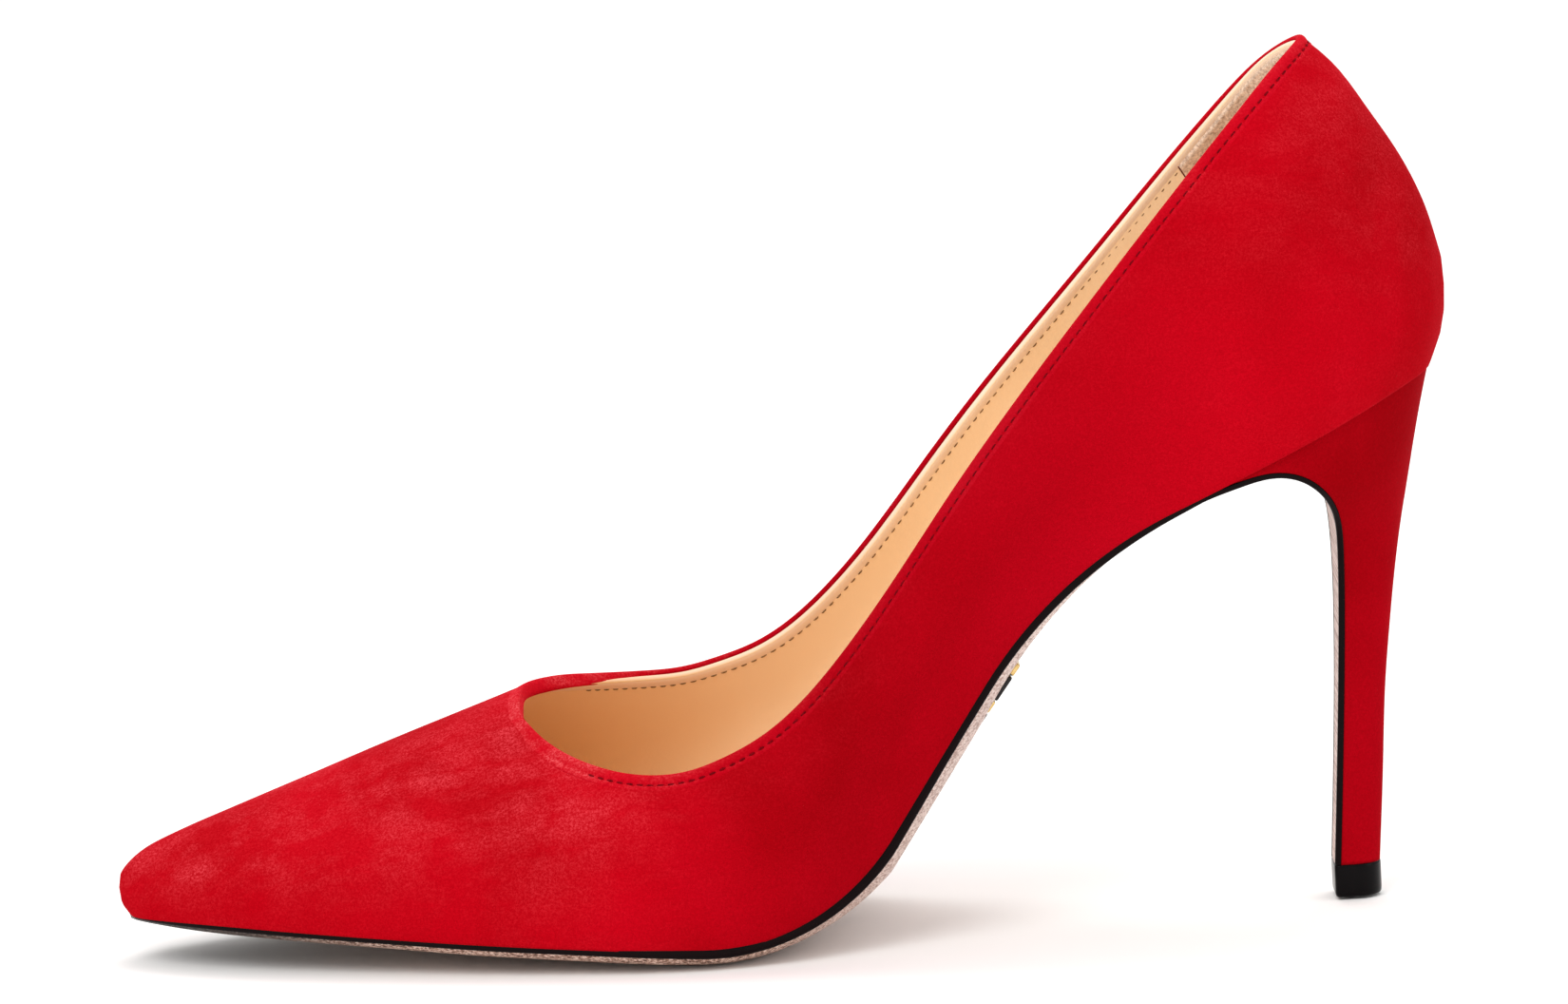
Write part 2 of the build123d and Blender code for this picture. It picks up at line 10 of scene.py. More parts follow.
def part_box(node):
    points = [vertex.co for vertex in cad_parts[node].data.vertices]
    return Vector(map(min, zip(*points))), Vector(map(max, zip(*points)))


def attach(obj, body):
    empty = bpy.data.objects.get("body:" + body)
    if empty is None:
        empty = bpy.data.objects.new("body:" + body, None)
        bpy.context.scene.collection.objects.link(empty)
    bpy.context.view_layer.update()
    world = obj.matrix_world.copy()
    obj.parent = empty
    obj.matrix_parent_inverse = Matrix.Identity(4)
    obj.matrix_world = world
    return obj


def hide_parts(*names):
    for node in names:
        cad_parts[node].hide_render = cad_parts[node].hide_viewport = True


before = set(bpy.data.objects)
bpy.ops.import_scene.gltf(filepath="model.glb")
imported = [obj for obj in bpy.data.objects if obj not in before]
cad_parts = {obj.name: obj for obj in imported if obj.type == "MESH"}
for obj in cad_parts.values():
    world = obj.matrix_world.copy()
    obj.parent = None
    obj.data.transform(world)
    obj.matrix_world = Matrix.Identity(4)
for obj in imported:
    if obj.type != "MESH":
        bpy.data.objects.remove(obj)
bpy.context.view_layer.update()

MM = 0.001

# ---- the shoe's shape, in millimetres
# x, top, half widths at the feather edge, belly and shoulder, centre line y
LAST = [
    (-118.9, 13.9, 1.0, 1.6, 1.1, 3.0),
    (-117.6, 16.5, 3.4, 4.3, 3.0, 3.0),
    (-114.0, 19.4, 7.0, 8.1, 5.7, 3.0),
    (-107.0, 22.5, 12.2, 13.1, 9.4, 3.0),
    (-97.0, 26.2, 17.6, 18.4, 13.4, 2.9),
    (-85.0, 30.6, 22.5, 23.2, 16.8, 2.7),
    (-70.0, 36.2, 27.4, 28.0, 19.8, 2.2),
    (-55.0, 41.6, 31.4, 31.8, 21.8, 1.6),
    (-40.0, 47.0, 34.2, 34.4, 23.8, 0.9),
    (-26.0, 52.0, 35.6, 36.2, 26.0, 0.3),
    (-12.0, 58.0, 34.6, 36.0, 27.4, -0.3),
    (2.0, 67.0, 31.2, 33.8, 27.4, -1.1),
    (16.0, 80.0, 27.0, 30.2, 26.2, -1.2),
    (30.0, 97.0, 23.8, 27.4, 24.4, -1.0),
    (45.0, 115.0, 21.8, 25.8, 23.2, -0.6),
    (60.0, 132.0, 21.6, 25.6, 22.4, -0.2),
    (75.0, 148.0, 22.4, 26.3, 21.2, 0.0),
    (87.0, 157.2, 22.2, 26.4, 19.4, 0.0),
    (95.0, 153.0, 20.8, 25.0, 17.4, 0.0),
    (101.5, 147.2, 18.0, 22.6, 15.0, 0.0),
    (107.5, 138.4, 14.2, 19.0, 12.4, 0.0),
    (112.4, 130.4, 10.0, 14.8, 9.8, 0.0),
    (116.0, 122.4, 5.6, 9.8, 7.0, 0.0),
    (118.0, 115.4, 2.8, 5.3, 4.2, 0.0),
    (118.9, 110.2, 1.0, 1.9, 1.6, 0.0),
]
# where the sections start at the toe and at the back: x, z
TOE_LOW = [(-118.9, 11.0), (-118.3, 9.7), (-117.0, 8.2), (-115.0, 6.4)]
BACK_LOW = [(112.0, 90.8), (114.4, 92.4), (116.2, 96.0), (117.8, 99.4), (118.9, 104.0)]
FEATHER_DEPTH = 2.0  # elsewhere they start this far below the foot line
BELLY_AT, SHOULDER_AT = 0.30, 0.68  # where those widths sit between low and top
SECTION_STEPS = [0.0, 0.19, 0.37, 0.5, 0.63, 0.81, 1.0]
LAST_ENDS = 118.685

# topline: x, height on the centre plane, rise per mm towards the inner side
TOPLINE = [
    (-48.3, 52.0, 0.30),
    (-47.6, 47.2, 0.33),
    (-46.9, 45.2, 0.34),
    (-45.3, 44.1, 0.315),
    (-43.4, 43.3, 0.30),
    (-40.5, 42.4, 0.29),
    (-36.5, 41.2, 0.265),
    (-30.3, 39.8, 0.23),
    (-23.5, 39.0, 0.195),
    (-18.0, 39.1, 0.168),
    (-12.0, 40.5, 0.145),
    (-5.2, 43.1, 0.118),
    (8.0, 53.4, 0.083),
    (30.0, 80.5, 0.050),
    (56.3, 111.4, 0.0),
    (82.8, 141.2, 0.0),
    (90.5, 148.8, 0.0),
    (95.5, 152.6, 0.0),
]
# outsole: x, half width, edge thickness, crown depth, centre line y
SOLE = [
    (-117.6, 1.4, 0.9, 0.3, 3.0),
    (-116.4, 3.9, 0.9, 0.6, 3.0),
    (-113.0, 7.6, 1.0, 0.9, 3.0),
    (-107.0, 12.4, 1.1, 1.3, 3.0),
    (-97.0, 17.9, 1.2, 1.6, 2.9),
    (-85.0, 22.8, 1.2, 1.8, 2.7),
    (-70.0, 27.8, 1.2, 2.0, 2.2),
    (-55.0, 31.8, 1.3, 2.2, 1.6),
    (-40.0, 34.6, 1.3, 2.3, 0.9),
    (-26.0, 36.0, 1.4, 2.4, 0.0),
    (-12.0, 35.0, 1.6, 2.5, -0.6),
    (2.0, 31.6, 1.8, 3.0, -1.1),
    (16.0, 27.4, 1.8, 3.8, -1.2),
    (30.0, 24.2, 1.5, 4.1, -1.0),
    (45.0, 22.2, 1.6, 3.3, -0.6),
    (60.0, 21.9, 1.5, 1.8, -0.2),
    (74.0, 22.7, 1.0, 0.3, 0.0),
    (82.0, 22.8, 0.9, 0.1, 0.0),
]
# heel sections: z, back x, depth of the rounded back, half width
HEEL = [
    (5.8, 103.4, 5.0, 4.4),
    (20.0, 104.5, 5.2, 4.7),
    (36.0, 105.6, 5.8, 5.3),
    (50.0, 107.2, 7.2, 6.6),
    (60.0, 108.6, 10.0, 8.8),
    (67.0, 109.8, 15.0, 12.2),
    (72.0, 110.8, 22.5, 17.2),
    (76.0, 111.6, 31.0, 21.8),
    (80.0, 112.4, 32.5, 22.6),
    (87.0, 113.9, 31.0, 22.6),
    (98.0, 116.6, 27.0, 22.0),
]
BREAST = [
    (74.0, 75.0), (80.0, 77.0), (86.0, 78.3), (90.4, 77.6), (93.8, 75.4), (96.0, 72.4),
    (97.2, 69.0), (97.7, 64.0), (97.6, 50.0), (97.0, 36.0), (96.1, 20.0), (95.2, 5.8),
]
# the foot line, where upper meets sole, is made of arcs and straights
BALL_X, BALL_Z = -17.6, 3.5
TOE_SPRING = radians(3.3)
TOE_FLAT_X = -95.0
TOE_RADIUS = 300.0
BALL_RADIUS = 39.4
WAIST_SLOPE = radians(55.3)
WAIST_STRAIGHT = 30.3
ARCH_RADIUS = 82.3
SEAT_SLOPE = radians(24.1)
SOCK_TOP = 6.3


def foot(x):
    """Height and slope of the line where upper meets sole."""
    x = np.asarray(x, dtype=float)
    flat_z = BALL_Z + (BALL_X - TOE_FLAT_X) * math.tan(TOE_SPRING)
    toe_x = TOE_FLAT_X - TOE_RADIUS * sin(TOE_SPRING)
    toe_z = flat_z + TOE_RADIUS * (1 - cos(TOE_SPRING))
    up_x = BALL_X + BALL_RADIUS * (sin(TOE_SPRING) + sin(WAIST_SLOPE))
    up_z = BALL_Z + BALL_RADIUS * (cos(TOE_SPRING) - cos(WAIST_SLOPE))
    arch_x = up_x + WAIST_STRAIGHT * cos(WAIST_SLOPE)
    arch_z = up_z + WAIST_STRAIGHT * sin(WAIST_SLOPE)
    seat_x = arch_x + ARCH_RADIUS * (sin(WAIST_SLOPE) - sin(SEAT_SLOPE))
    seat_z = arch_z + ARCH_RADIUS * (cos(SEAT_SLOPE) - cos(WAIST_SLOPE))
    a_toe = -np.arcsin(np.clip((x - toe_x) / TOE_RADIUS, 0, sin(TOE_SPRING)))
    a_ball = np.arcsin(np.clip((x - BALL_X) / BALL_RADIUS - sin(TOE_SPRING), -1, 1))
    a_arch = np.arcsin(np.clip(sin(WAIST_SLOPE) - (x - arch_x) / ARCH_RADIUS, -1, 1))
    zones = [x < TOE_FLAT_X, x < BALL_X, x < up_x, x < arch_x, x < seat_x]
    heights = [
        toe_z - TOE_RADIUS * (1 - np.cos(a_toe)),
        BALL_Z + (BALL_X - x) * math.tan(TOE_SPRING),
        BALL_Z + BALL_RADIUS * (cos(TOE_SPRING) - np.cos(a_ball)),
        up_z + (x - up_x) * math.tan(WAIST_SLOPE),
        arch_z + ARCH_RADIUS * (np.cos(a_arch) - cos(WAIST_SLOPE)),
    ]
    slopes = [a_toe, -TOE_SPRING + 0 * x, a_ball, WAIST_SLOPE + 0 * x, a_arch]
    z = np.select(zones, heights, seat_z + (x - seat_x) * math.tan(SEAT_SLOPE))
    return z, np.select(zones, slopes, SEAT_SLOPE + 0 * x)


def hermite(t, gap, start, end, slope_start, slope_end):
    """Cubic from start to end with the given slopes, at t from 0 to 1."""
    out = (2 * t**3 - 3 * t**2 + 1) * start + (t**3 - 2 * t**2 + t) * gap * slope_start
    return out + (3 * t**2 - 2 * t**3) * end + (t**3 - t**2) * gap * slope_end


def faired(table, x):
    """Table columns at x, smoothed the way the solid model's sections are."""
    rows = np.array(table, dtype=float)
    x = np.atleast_1d(np.asarray(x, dtype=float))
    first = rows[0, 0]
    span = rows[-1, 0] - first
    place = np.arccos(np.clip(1 - 2 * (rows[:, 0] - first) / span, -1, 1))
    slope = np.gradient(rows, place, axis=0)
    u = np.arccos(np.clip(1 - 2 * (x - first) / span, -1, 1))
    i = np.clip(np.searchsorted(place, u) - 1, 0, len(rows) - 2)
    gap = (place[i + 1] - place[i])[:, None]
    t = (u - place[i])[:, None] / gap
    return hermite(t, gap, rows[i], rows[i + 1], slope[i], slope[i + 1])


def spline_weights(knots, t):
    """Weights that turn points given at the knots into a smooth curve at t."""
    k = np.asarray(knots, dtype=float)
    n = len(k)
    h = np.diff(k)
    a = np.zeros((n, n))
    b = np.zeros((n, n))
    for end, (p, q, r) in ((0, (0, 1, 2)), (n - 1, (n - 1, n - 2, n - 3))):
        a[end, end] = 1
        b[end, p] = 1 / (k[p] - k[q]) + 1 / (k[p] - k[r])
        b[end, q] = (k[p] - k[r]) / ((k[q] - k[p]) * (k[q] - k[r]))
        b[end, r] = (k[p] - k[q]) / ((k[r] - k[p]) * (k[r] - k[q]))
    for j in range(1, n - 1):
        a[j, j - 1] = 1 / h[j - 1]
        a[j, j] = 2 * (1 / h[j - 1] + 1 / h[j])
        a[j, j + 1] = 1 / h[j]
        b[j, j - 1] = -3 / h[j - 1] ** 2
        b[j, j] = 3 / h[j - 1] ** 2 - 3 / h[j] ** 2
        b[j, j + 1] = 3 / h[j] ** 2
    m = np.linalg.solve(a, b)
    t = np.atleast_1d(t)
    i = np.clip(np.searchsorted(k, t) - 1, 0, n - 2)
    g = h[i][:, None]
    s = ((t - k[i]) / h[i])[:, None]
    eye = np.eye(n)
    return hermite(s, g, eye[i], eye[i + 1], m[i], m[i + 1])


def run_along(points):
    """Distance along a row of points in space, from the first to each."""
    return np.concatenate([[0], np.cumsum(np.linalg.norm(np.diff(points, axis=0), axis=1))])


def run_flat(points):
    """The same for points in a plane."""
    return np.concatenate([[0], np.cumsum(np.hypot(*np.diff(points, axis=0).T))])


def unit(vectors):
    """Rows of vectors, each brought to length 1."""
    return vectors / np.linalg.norm(vectors, axis=1)[:, None]


FINE_T = np.linspace(0, 1, 801)
FINE_W = spline_weights(SECTION_STEPS, FINE_T)


def section_controls(x):
    """The seven points that shape each section of the last: arrays (7, len(x)) of y and z."""
    row = faired(LAST, x)
    low = foot(x)[0] - FEATHER_DEPTH
    low = np.where(x < TOE_LOW[-1][0], np.interp(x, *zip(*TOE_LOW)), low)
    low = np.where(x > BACK_LOW[0][0], np.interp(x, *zip(*BACK_LOW)), low)
    top, feather, belly, shoulder, centre = (row[:, j] for j in range(1, 6))
    tall = top - low
    half = [feather, belly, shoulder]
    z = [low, low + BELLY_AT * tall, low + SHOULDER_AT * tall, top]
    ys = np.stack([centre + w for w in half] + [centre] + [centre - w for w in half[::-1]])
    return ys, np.stack(z + z[2::-1])


def sections(x):
    """Section curves of the last: arrays (len(x), 801) of y and z, from the inner side over the top."""
    ys, zs = section_controls(np.atleast_1d(np.asarray(x, dtype=float)))
    return (FINE_W @ ys).T, (FINE_W @ zs).T


def topline_curve():
    """x, centre height and sideways rise of the topline, finely sampled."""
    t = np.array(TOPLINE)
    reach = run_flat(t[:, :2])
    return spline_weights(reach / reach[-1], np.linspace(0, 1, 2001)) @ t


TOP_CURVE = topline_curve()


def topline_height(x, y):
    order = np.argsort(TOP_CURVE[:, 0])
    c = TOP_CURVE[order]
    return np.interp(x, c[:, 0], c[:, 1]) + y * np.interp(x, c[:, 0], c[:, 2])


def crossing(t, gap, start, stop):
    """First place between start and stop where gap changes sign, else stop."""
    seg = (t >= min(start, stop)) & (t <= max(start, stop))
    tt = t[seg] if start < stop else t[seg][::-1]
    gg = gap[seg] if start < stop else gap[seg][::-1]
    hit = np.nonzero((gg[:-1] <= 0) & (gg[1:] > 0))[0]
    if len(hit) == 0:
        return stop
    k = hit[0]
    f = gg[k] / (gg[k] - gg[k + 1])
    return tt[k] + f * (tt[k + 1] - tt[k])


def last_points(x, t):
    """Points on the last at section x and place t round the section."""
    x = np.atleast_1d(np.asarray(x, dtype=float))
    w = spline_weights(SECTION_STEPS, np.asarray(t, dtype=float))
    ys, zs = (np.ascontiguousarray(v.T) for v in section_controls(x))
    return np.stack([x, (w * ys).sum(axis=1), (w * zs).sum(axis=1)], axis=1)


def last_frame(x, t):
    """Points with tangents along x and t and the outward normal."""
    step_x, step_t = 0.05, 0.0005
    xa, xb = np.maximum(x - step_x, -LAST_ENDS), np.minimum(x + step_x, LAST_ENDS)
    ta, tb = np.maximum(t - step_t, 0), np.minimum(t + step_t, 1)
    p = last_points(x, t)
    px = (last_points(xb, t) - last_points(xa, t)) / (xb - xa)[:, None]
    pt = (last_points(x, tb) - last_points(x, ta)) / (tb - ta)[:, None]
    n = unit(np.cross(pt, px))
    return p, px, pt, n


def on_last(goal, x, t):
    """Moves (x, t) until the last's point there is the nearest one to goal."""
    for _ in range(5):
        p, px, pt, _ = last_frame(x, t)
        d = goal - p
        a, b, c = (px * px).sum(1), (px * pt).sum(1), (pt * pt).sum(1)
        e, f = (px * d).sum(1), (pt * d).sum(1)
        det = a * c - b * b
        x = np.clip(x + (c * e - b * f) / det, -LAST_ENDS, LAST_ENDS)
        t = np.clip(t + (a * f - b * e) / det, 0, 1)
    return x, t


def seam_place(x):
    """Place round the section where the two sides of a closed station meet, outside of the crown."""
    return 0.5 + 0.055 * np.clip((0.0 - x) / 30.0, 0, 1)


def throat_gap(x):
    """Least height of the topline above the last at station x; negative inside the opening."""
    y, z = sections(x)
    near = np.abs(FINE_T - 0.52) < 0.12
    return float(np.min((topline_height(x, y[0]) - z[0])[near]))


def solve(f, a, b):
    fa = f(a)
    for _ in range(50):
        m = 0.5 * (a + b)
        fm = f(m)
        if (fa > 0) == (fm > 0):
            a, fa = m, fm
        else:
            b = m
    return 0.5 * (a + b)


THROAT_X = solve(throat_gap, -48.2, -44.0)
BACK_X = solve(throat_gap, 88.0, 99.0)


def spaced(a, b, n, end):
    """n+1 numbers from a to b, closer together at the named end."""
    s = np.linspace(0, 1, n + 1)
    if end == "first":
        s = s * s * (0.55 + 0.45 * s)
    else:
        s = 1 - (1 - s) ** 2 * (0.55 + 0.45 * (1 - s))
    return a + (b - a) * s


def limits(x, above_foot):
    """Places t on both sides where a section leaves the foot line and meets the topline."""
    y, z = sections(x)
    foot_z = foot(x)[0] + above_foot
    out = []
    for i, xi in enumerate(x):
        gap_low = z[i] - foot_z[i]
        inner_low = crossing(FINE_T, gap_low, 0.0, 0.3) if gap_low[0] <= 0 else 0.0
        outer_low = crossing(FINE_T, gap_low, 1.0, 0.7) if gap_low[-1] <= 0 else 1.0
        if THROAT_X < xi < BACK_X:
            gap = z[i] - topline_height(xi, y[i])
            inner_top = crossing(FINE_T, gap, inner_low, seam_place(xi))
            outer_top = crossing(FINE_T, gap, outer_low, seam_place(xi))
        else:
            inner_top = outer_top = seam_place(xi)
        out.append((outer_top, outer_low, inner_low, inner_top))
    return np.array(out)


SIDE_ROWS, FLOOR_ROWS = 40, 7
WALL_EASE = 0.55  # how much closer the rows of a wall sit at both its ends


def evenly(start, stop, x):
    """Places t from start to stop along the section at x, a little closer at both ends."""
    t = np.linspace(start, stop, 60)
    run = run_along(last_points(np.full(60, x), t))
    s = np.linspace(0, 1, SIDE_ROWS)
    s = s - WALL_EASE * np.sin(2 * pi * s) / (2 * pi)
    return np.interp(s * run[-1], run, t)


# ---- mesh helpers
def make_object(name, points, faces, weld_distance=0.00001):
    """Smooth mesh object from points in mm, doubles merged and normals turned outward."""
    mesh = bpy.data.meshes.new(name)
    mesh.from_pydata([tuple(p) for p in np.asarray(points) * MM], [], faces)
    mesh.validate()
    mesh.update()
    obj = bpy.data.objects.new(name, mesh)
    bpy.context.scene.collection.objects.link(obj)
    bm = bmesh.new()
    bm.from_mesh(mesh)
    bmesh.ops.remove_doubles(bm, verts=bm.verts, dist=weld_distance)
    bmesh.ops.dissolve_degenerate(bm, dist=weld_distance * 0.5, edges=bm.edges)
    bmesh.ops.recalc_face_normals(bm, faces=bm.faces)
    for f in bm.faces:
        f.smooth = True
    bm.to_mesh(mesh)
    bm.free()
    return obj


def grid_faces(rows, cols, start=0, wrap_cols=False, wrap_rows=False):
    faces = []
    for i in range(rows if wrap_rows else rows - 1):
        for j in range(cols if wrap_cols else cols - 1):
            a = start + i * cols + j
            b = start + i * cols + (j + 1) % cols
            c = start + ((i + 1) % rows) * cols + (j + 1) % cols
            d = start + ((i + 1) % rows) * cols + j
            faces.append((a, b, c, d))
    return faces


def tube_faces(rows, cols, start=0, flip=False):
    """Faces of a tube of rows by cols points, closed by a cap at each end."""
    first = tuple(start + j for j in range(cols))
    last = tuple(start + (rows - 1) * cols + j for j in range(cols))
    caps = [first[::-1], last] if flip else [first, last[::-1]]
    return grid_faces(rows, cols, start, wrap_cols=True) + caps


def shell_grid(x, above_foot, offset):
    """One U or O of points per station: outer edge, down, across the bottom, up to the inner edge."""
    ts = []
    for xi, (outer_top, outer_low, inner_low, inner_top) in zip(x, limits(x, above_foot)):
        ts.append(np.concatenate([evenly(outer_top, outer_low, xi), evenly(inner_low, inner_top, xi)]))
    ts = np.array(ts)
    p, _, _, n = last_frame(np.repeat(x, 2 * SIDE_ROWS), ts.ravel())
    p = (p + n * np.broadcast_to(offset, ts.shape).reshape(-1, 1)).reshape(*ts.shape, 3)
    s = np.linspace(0, 1, FLOOR_ROWS + 2)[1:-1][None, :, None]
    left, right = p[:, SIDE_ROWS - 1][:, None], p[:, SIDE_ROWS][:, None]
    floor = left + (right - left) * s
    return np.concatenate([p[:, :SIDE_ROWS], floor, p[:, SIDE_ROWS:]], axis=1)


CLOSED_GAP = 0.03  # stations whose two edges are nearer than this count as closed


def closed_shell(name, outer, inner, capped):
    """Solid between two grids of the same size; the end stations are domed or joined."""
    rows, cols = outer.shape[:2]
    count = rows * cols
    points = np.concatenate([outer.reshape(-1, 3), inner.reshape(-1, 3)])
    faces = grid_faces(rows, cols)
    faces += [tuple(reversed([v + count for v in f])) for f in grid_faces(rows, cols)]
    gap = np.linalg.norm(outer[:, 0] - outer[:, -1], axis=1)
    for i in range(rows - 1):
        if gap[i] < CLOSED_GAP and gap[i + 1] < CLOSED_GAP:
            continue
        for j in (0, cols - 1):
            a, b = i * cols + j, (i + 1) * cols + j
            faces.append((a, b, b + count, a + count) if j == 0 else (b, a, a + count, b + count))
    hubs = []
    for row, out in ((0, -1), (rows - 1, 1)):
        if not capped:
            for j in range(cols - 1):
                a = row * cols + j
                faces.append((a, a + 1, a + 1 + count, a + count))
            continue
        for grid, base, push in ((outer, 0, 0.35), (inner, count, 0.1)):
            hubs.append(grid[row].mean(axis=0) + np.array([out * push, 0, 0]))
            hub = 2 * count + len(hubs) - 1
            for j in range(cols):
                faces.append((base + row * cols + j, base + row * cols + (j + 1) % cols, hub))
    if hubs:
        points = np.concatenate([points, np.array(hubs)])
    return make_object(name, points, faces, 0.00002)


# ---- stations
STATIONS = np.concatenate([
    -LAST_ENDS + (LAST_ENDS - 100.0) * np.linspace(0, 1, 26) ** 2.2,
    np.linspace(-100.0, -62.0, 26),
    spaced(-62.0, THROAT_X, 14, "last"),
    spaced(THROAT_X, -20.0, 46, "first"),
    np.linspace(-20.0, 70.0, 60),
    spaced(70.0, BACK_X, 34, "last"),
    spaced(BACK_X, 104.0, 12, "first"),
    LAST_ENDS - (LAST_ENDS - 104.0) * np.linspace(1, 0, 26) ** 2.2,
])
STATIONS = np.unique(np.round(STATIONS, 5))

# depths below the upper's outer face, in mm
UPPER_DEPTH = 0.9
LINING_OUTSIDE, LINING_INSIDE = 1.25, 2.05


def upper_skin():
    """Suede upper with its lasted margin."""
    outer = shell_grid(STATIONS, -0.35, 0.0)
    return closed_shell("upper_skin", outer, shell_grid(STATIONS, 0.55, -UPPER_DEPTH), True)


def lining_skin():
    """Lining, thicker below the edge and again round the heel, where it covers the counter."""
    x = STATIONS[(STATIONS > -108.0) & (STATIONS < 114.5)]
    down = np.clip(np.linspace(0, 1, SIDE_ROWS) / 0.4, 0, 1)
    down = np.concatenate([down, down[::-1]])
    deep = 0.7 + 0.65 * np.clip((x - 52.0) / 10.0, 0, 1)
    thin = -LINING_INSIDE - deep[:, None] * (down * down * (3 - 2 * down))[None, :]
    outer = shell_grid(x, 4.4, -LINING_OUTSIDE)
    return closed_shell("lining_skin", outer, shell_grid(x, 5.2, thin), False)


# ---- topline ring
EVEN_PASSES, ROUND_PASSES = 6, 40  # smoothing of the whole ring, then of its throat only
ROUND_FROM_X, ROUND_FADE = -35.0, 6.0


def topline_ring(step):
    """Even places (x, t) round the topline, from the throat along the inner side to the back and home."""
    x = np.concatenate([
        spaced(THROAT_X, 0.0, 160, "first"),
        np.linspace(0.0, 60.0, 60)[1:],
        spaced(60.0, BACK_X, 120, "last")[1:],
    ])
    lim = limits(x, 0.0)
    for end in (0, -1):
        lim[end, 0] = lim[end, 3] = lim[end, [0, 3]].mean()
    xs = np.concatenate([x, x[::-1][1:-1]])
    ts = np.concatenate([lim[:, 3], lim[::-1, 0][1:-1]])
    p = last_points(xs, ts)
    loop = np.vstack([p, p[:1]])
    run = run_along(loop)
    s = np.linspace(0, run[-1], int(round(run[-1] / step)), endpoint=False)
    goal = np.stack([np.interp(s, run, loop[:, k]) for k in range(3)], axis=1)
    round_off = np.clip((ROUND_FROM_X - goal[:, 0]) / ROUND_FADE, 0, 1)[:, None]
    for i in range(EVEN_PASSES + ROUND_PASSES):
        even = 0.25 * np.roll(goal, 1, 0) + 0.5 * goal + 0.25 * np.roll(goal, -1, 0)
        goal = even if i < EVEN_PASSES else goal + (even - goal) * round_off
    return on_last(goal, *(np.interp(s, run, np.append(v, v[0])) for v in (xs, ts)))


def ring_frames(x, t):
    """Edge points, tangents, outward normals and the direction down the wall."""
    p, _, _, n = last_frame(x, t)
    s = unit(np.roll(p, -1, 0) - np.roll(p, 1, 0))
    d = unit(np.cross(n, s))
    return p, s, n, -d if d[len(d) // 4][2] > 0 else d


def below_edge(x, t, drop):
    """Places on the last `drop` mm down the wall from the ring, reached in three steps."""
    for _ in range(3):
        p, _, _, d = ring_frames(x, t)
        x, t = on_last(p + d * np.reshape(drop / 3.0, (-1, 1)), x, t)
    return x, t


def profile_curve(points):
    """A smooth closed curve through the points, with one more point between each two."""
    p = np.array(points, dtype=float)
    out = []
    for i in range(len(p)):
        a, b, c, d = p[i - 1], p[i], p[(i + 1) % len(p)], p[(i + 2) % len(p)]
        turn = 2 * a - 5 * b + 4 * c - d
        twist = 3 * b - a - 3 * c + d
        for s in (0.0, 0.5):
            out.append(0.5 * (2 * b + (c - a) * s + turn * s**2 + twist * s**3))
    return np.array(out)


RING = topline_ring(step=0.32)
STITCH_PITCH = 1.9
STITCH_DROP = 1.95
STITCH_START = -35.0  # no stitches show round the throat in front of this
HOLE_DEPTH, HOLE_RADIUS = 0.30, 0.28
# distance below the edge, height above the outer face
FOLD = [
    (3.1, -0.18), (2.75, 0.03), (2.35, 0.14), (1.95, 0.06), (1.55, 0.22), (1.0, 0.40),
    (0.45, 0.38), (0.05, 0.12), (-0.14, -0.25), (-0.08, -0.65), (0.18, -0.95), (0.7, -1.08),
    (1.5, -1.05), (2.5, -0.75),
]
# further forward the inner leg closes over the lining, and at the throat it reaches down inside
FOLD_FRONT = FOLD[:8] + [
    (-0.16, -0.35), (-0.20, -1.20), (-0.16, -2.00), (-0.02, -2.36), (0.12, -2.40),
    (0.22, -1.90),
]
FOLD_THROAT = [
    (3.1, -0.20), (2.75, -0.10), (2.35, -0.04), (1.95, 0.0), (1.55, 0.05), (1.0, 0.12),
    (0.45, 0.17), (0.05, 0.06), (-0.16, -0.35), (-0.20, -1.20), (-0.12, -2.00), (0.40, -2.42),
    (1.25, -2.46), (1.8, -1.90),
]
LINING_BAND = [
    (2.6, -1.75), (2.2, -2.10), (1.9, -2.20), (1.2, -2.24), (0.5, -2.18), (0.10, -1.95),
    (-0.06, -1.55), (0.02, -1.10), (0.4, -0.85), (1.2, -0.80), (2.6, -0.95),
]


# the fold's profile changes along the shoe: x, profile
FOLD_STOPS = [(-46.0, FOLD_THROAT), (-37.0, FOLD_FRONT), (-22.0, FOLD)]


def ring_band(name, shapes, dimple=0.0):
    """Closed band swept round the topline through (x, profile) pairs; `dimple` is the needle holes' depth."""
    x, t = RING
    stops = [stop for stop, _ in shapes]
    prof = np.array([profile_curve(shape) for _, shape in shapes])
    p0 = last_points(x, t)
    run = run_along(p0)
    whole = run[-1] + np.linalg.norm(p0[0] - p0[-1])
    turns = round(whole / STITCH_PITCH)
    hole = (0.5 + 0.5 * np.cos(2 * pi * turns * run / whole)) ** 3
    hole = hole * np.clip((x - STITCH_START) / 3.0, 0, 1)
    loops = []
    for k in range(prof.shape[1]):
        u, v = (np.interp(x, stops, prof[:, k, j]) for j in range(2))
        p, _, n, d = ring_frames(*below_edge(x, t, np.maximum(u, 0.0)))
        sink = dimple * np.exp(-(((u - STITCH_DROP) / HOLE_RADIUS) ** 2)) * hole * (v > -0.2)
        loops.append(p + n * (v - sink)[:, None] + d * np.minimum(u, 0.0)[:, None])
    grid = np.stack(loops, axis=1)
    faces = grid_faces(*grid.shape[:2], wrap_cols=True, wrap_rows=True)
    return make_object(name, grid.reshape(-1, 3), faces, 0.000005)


AROUND = 8  # points round a thread


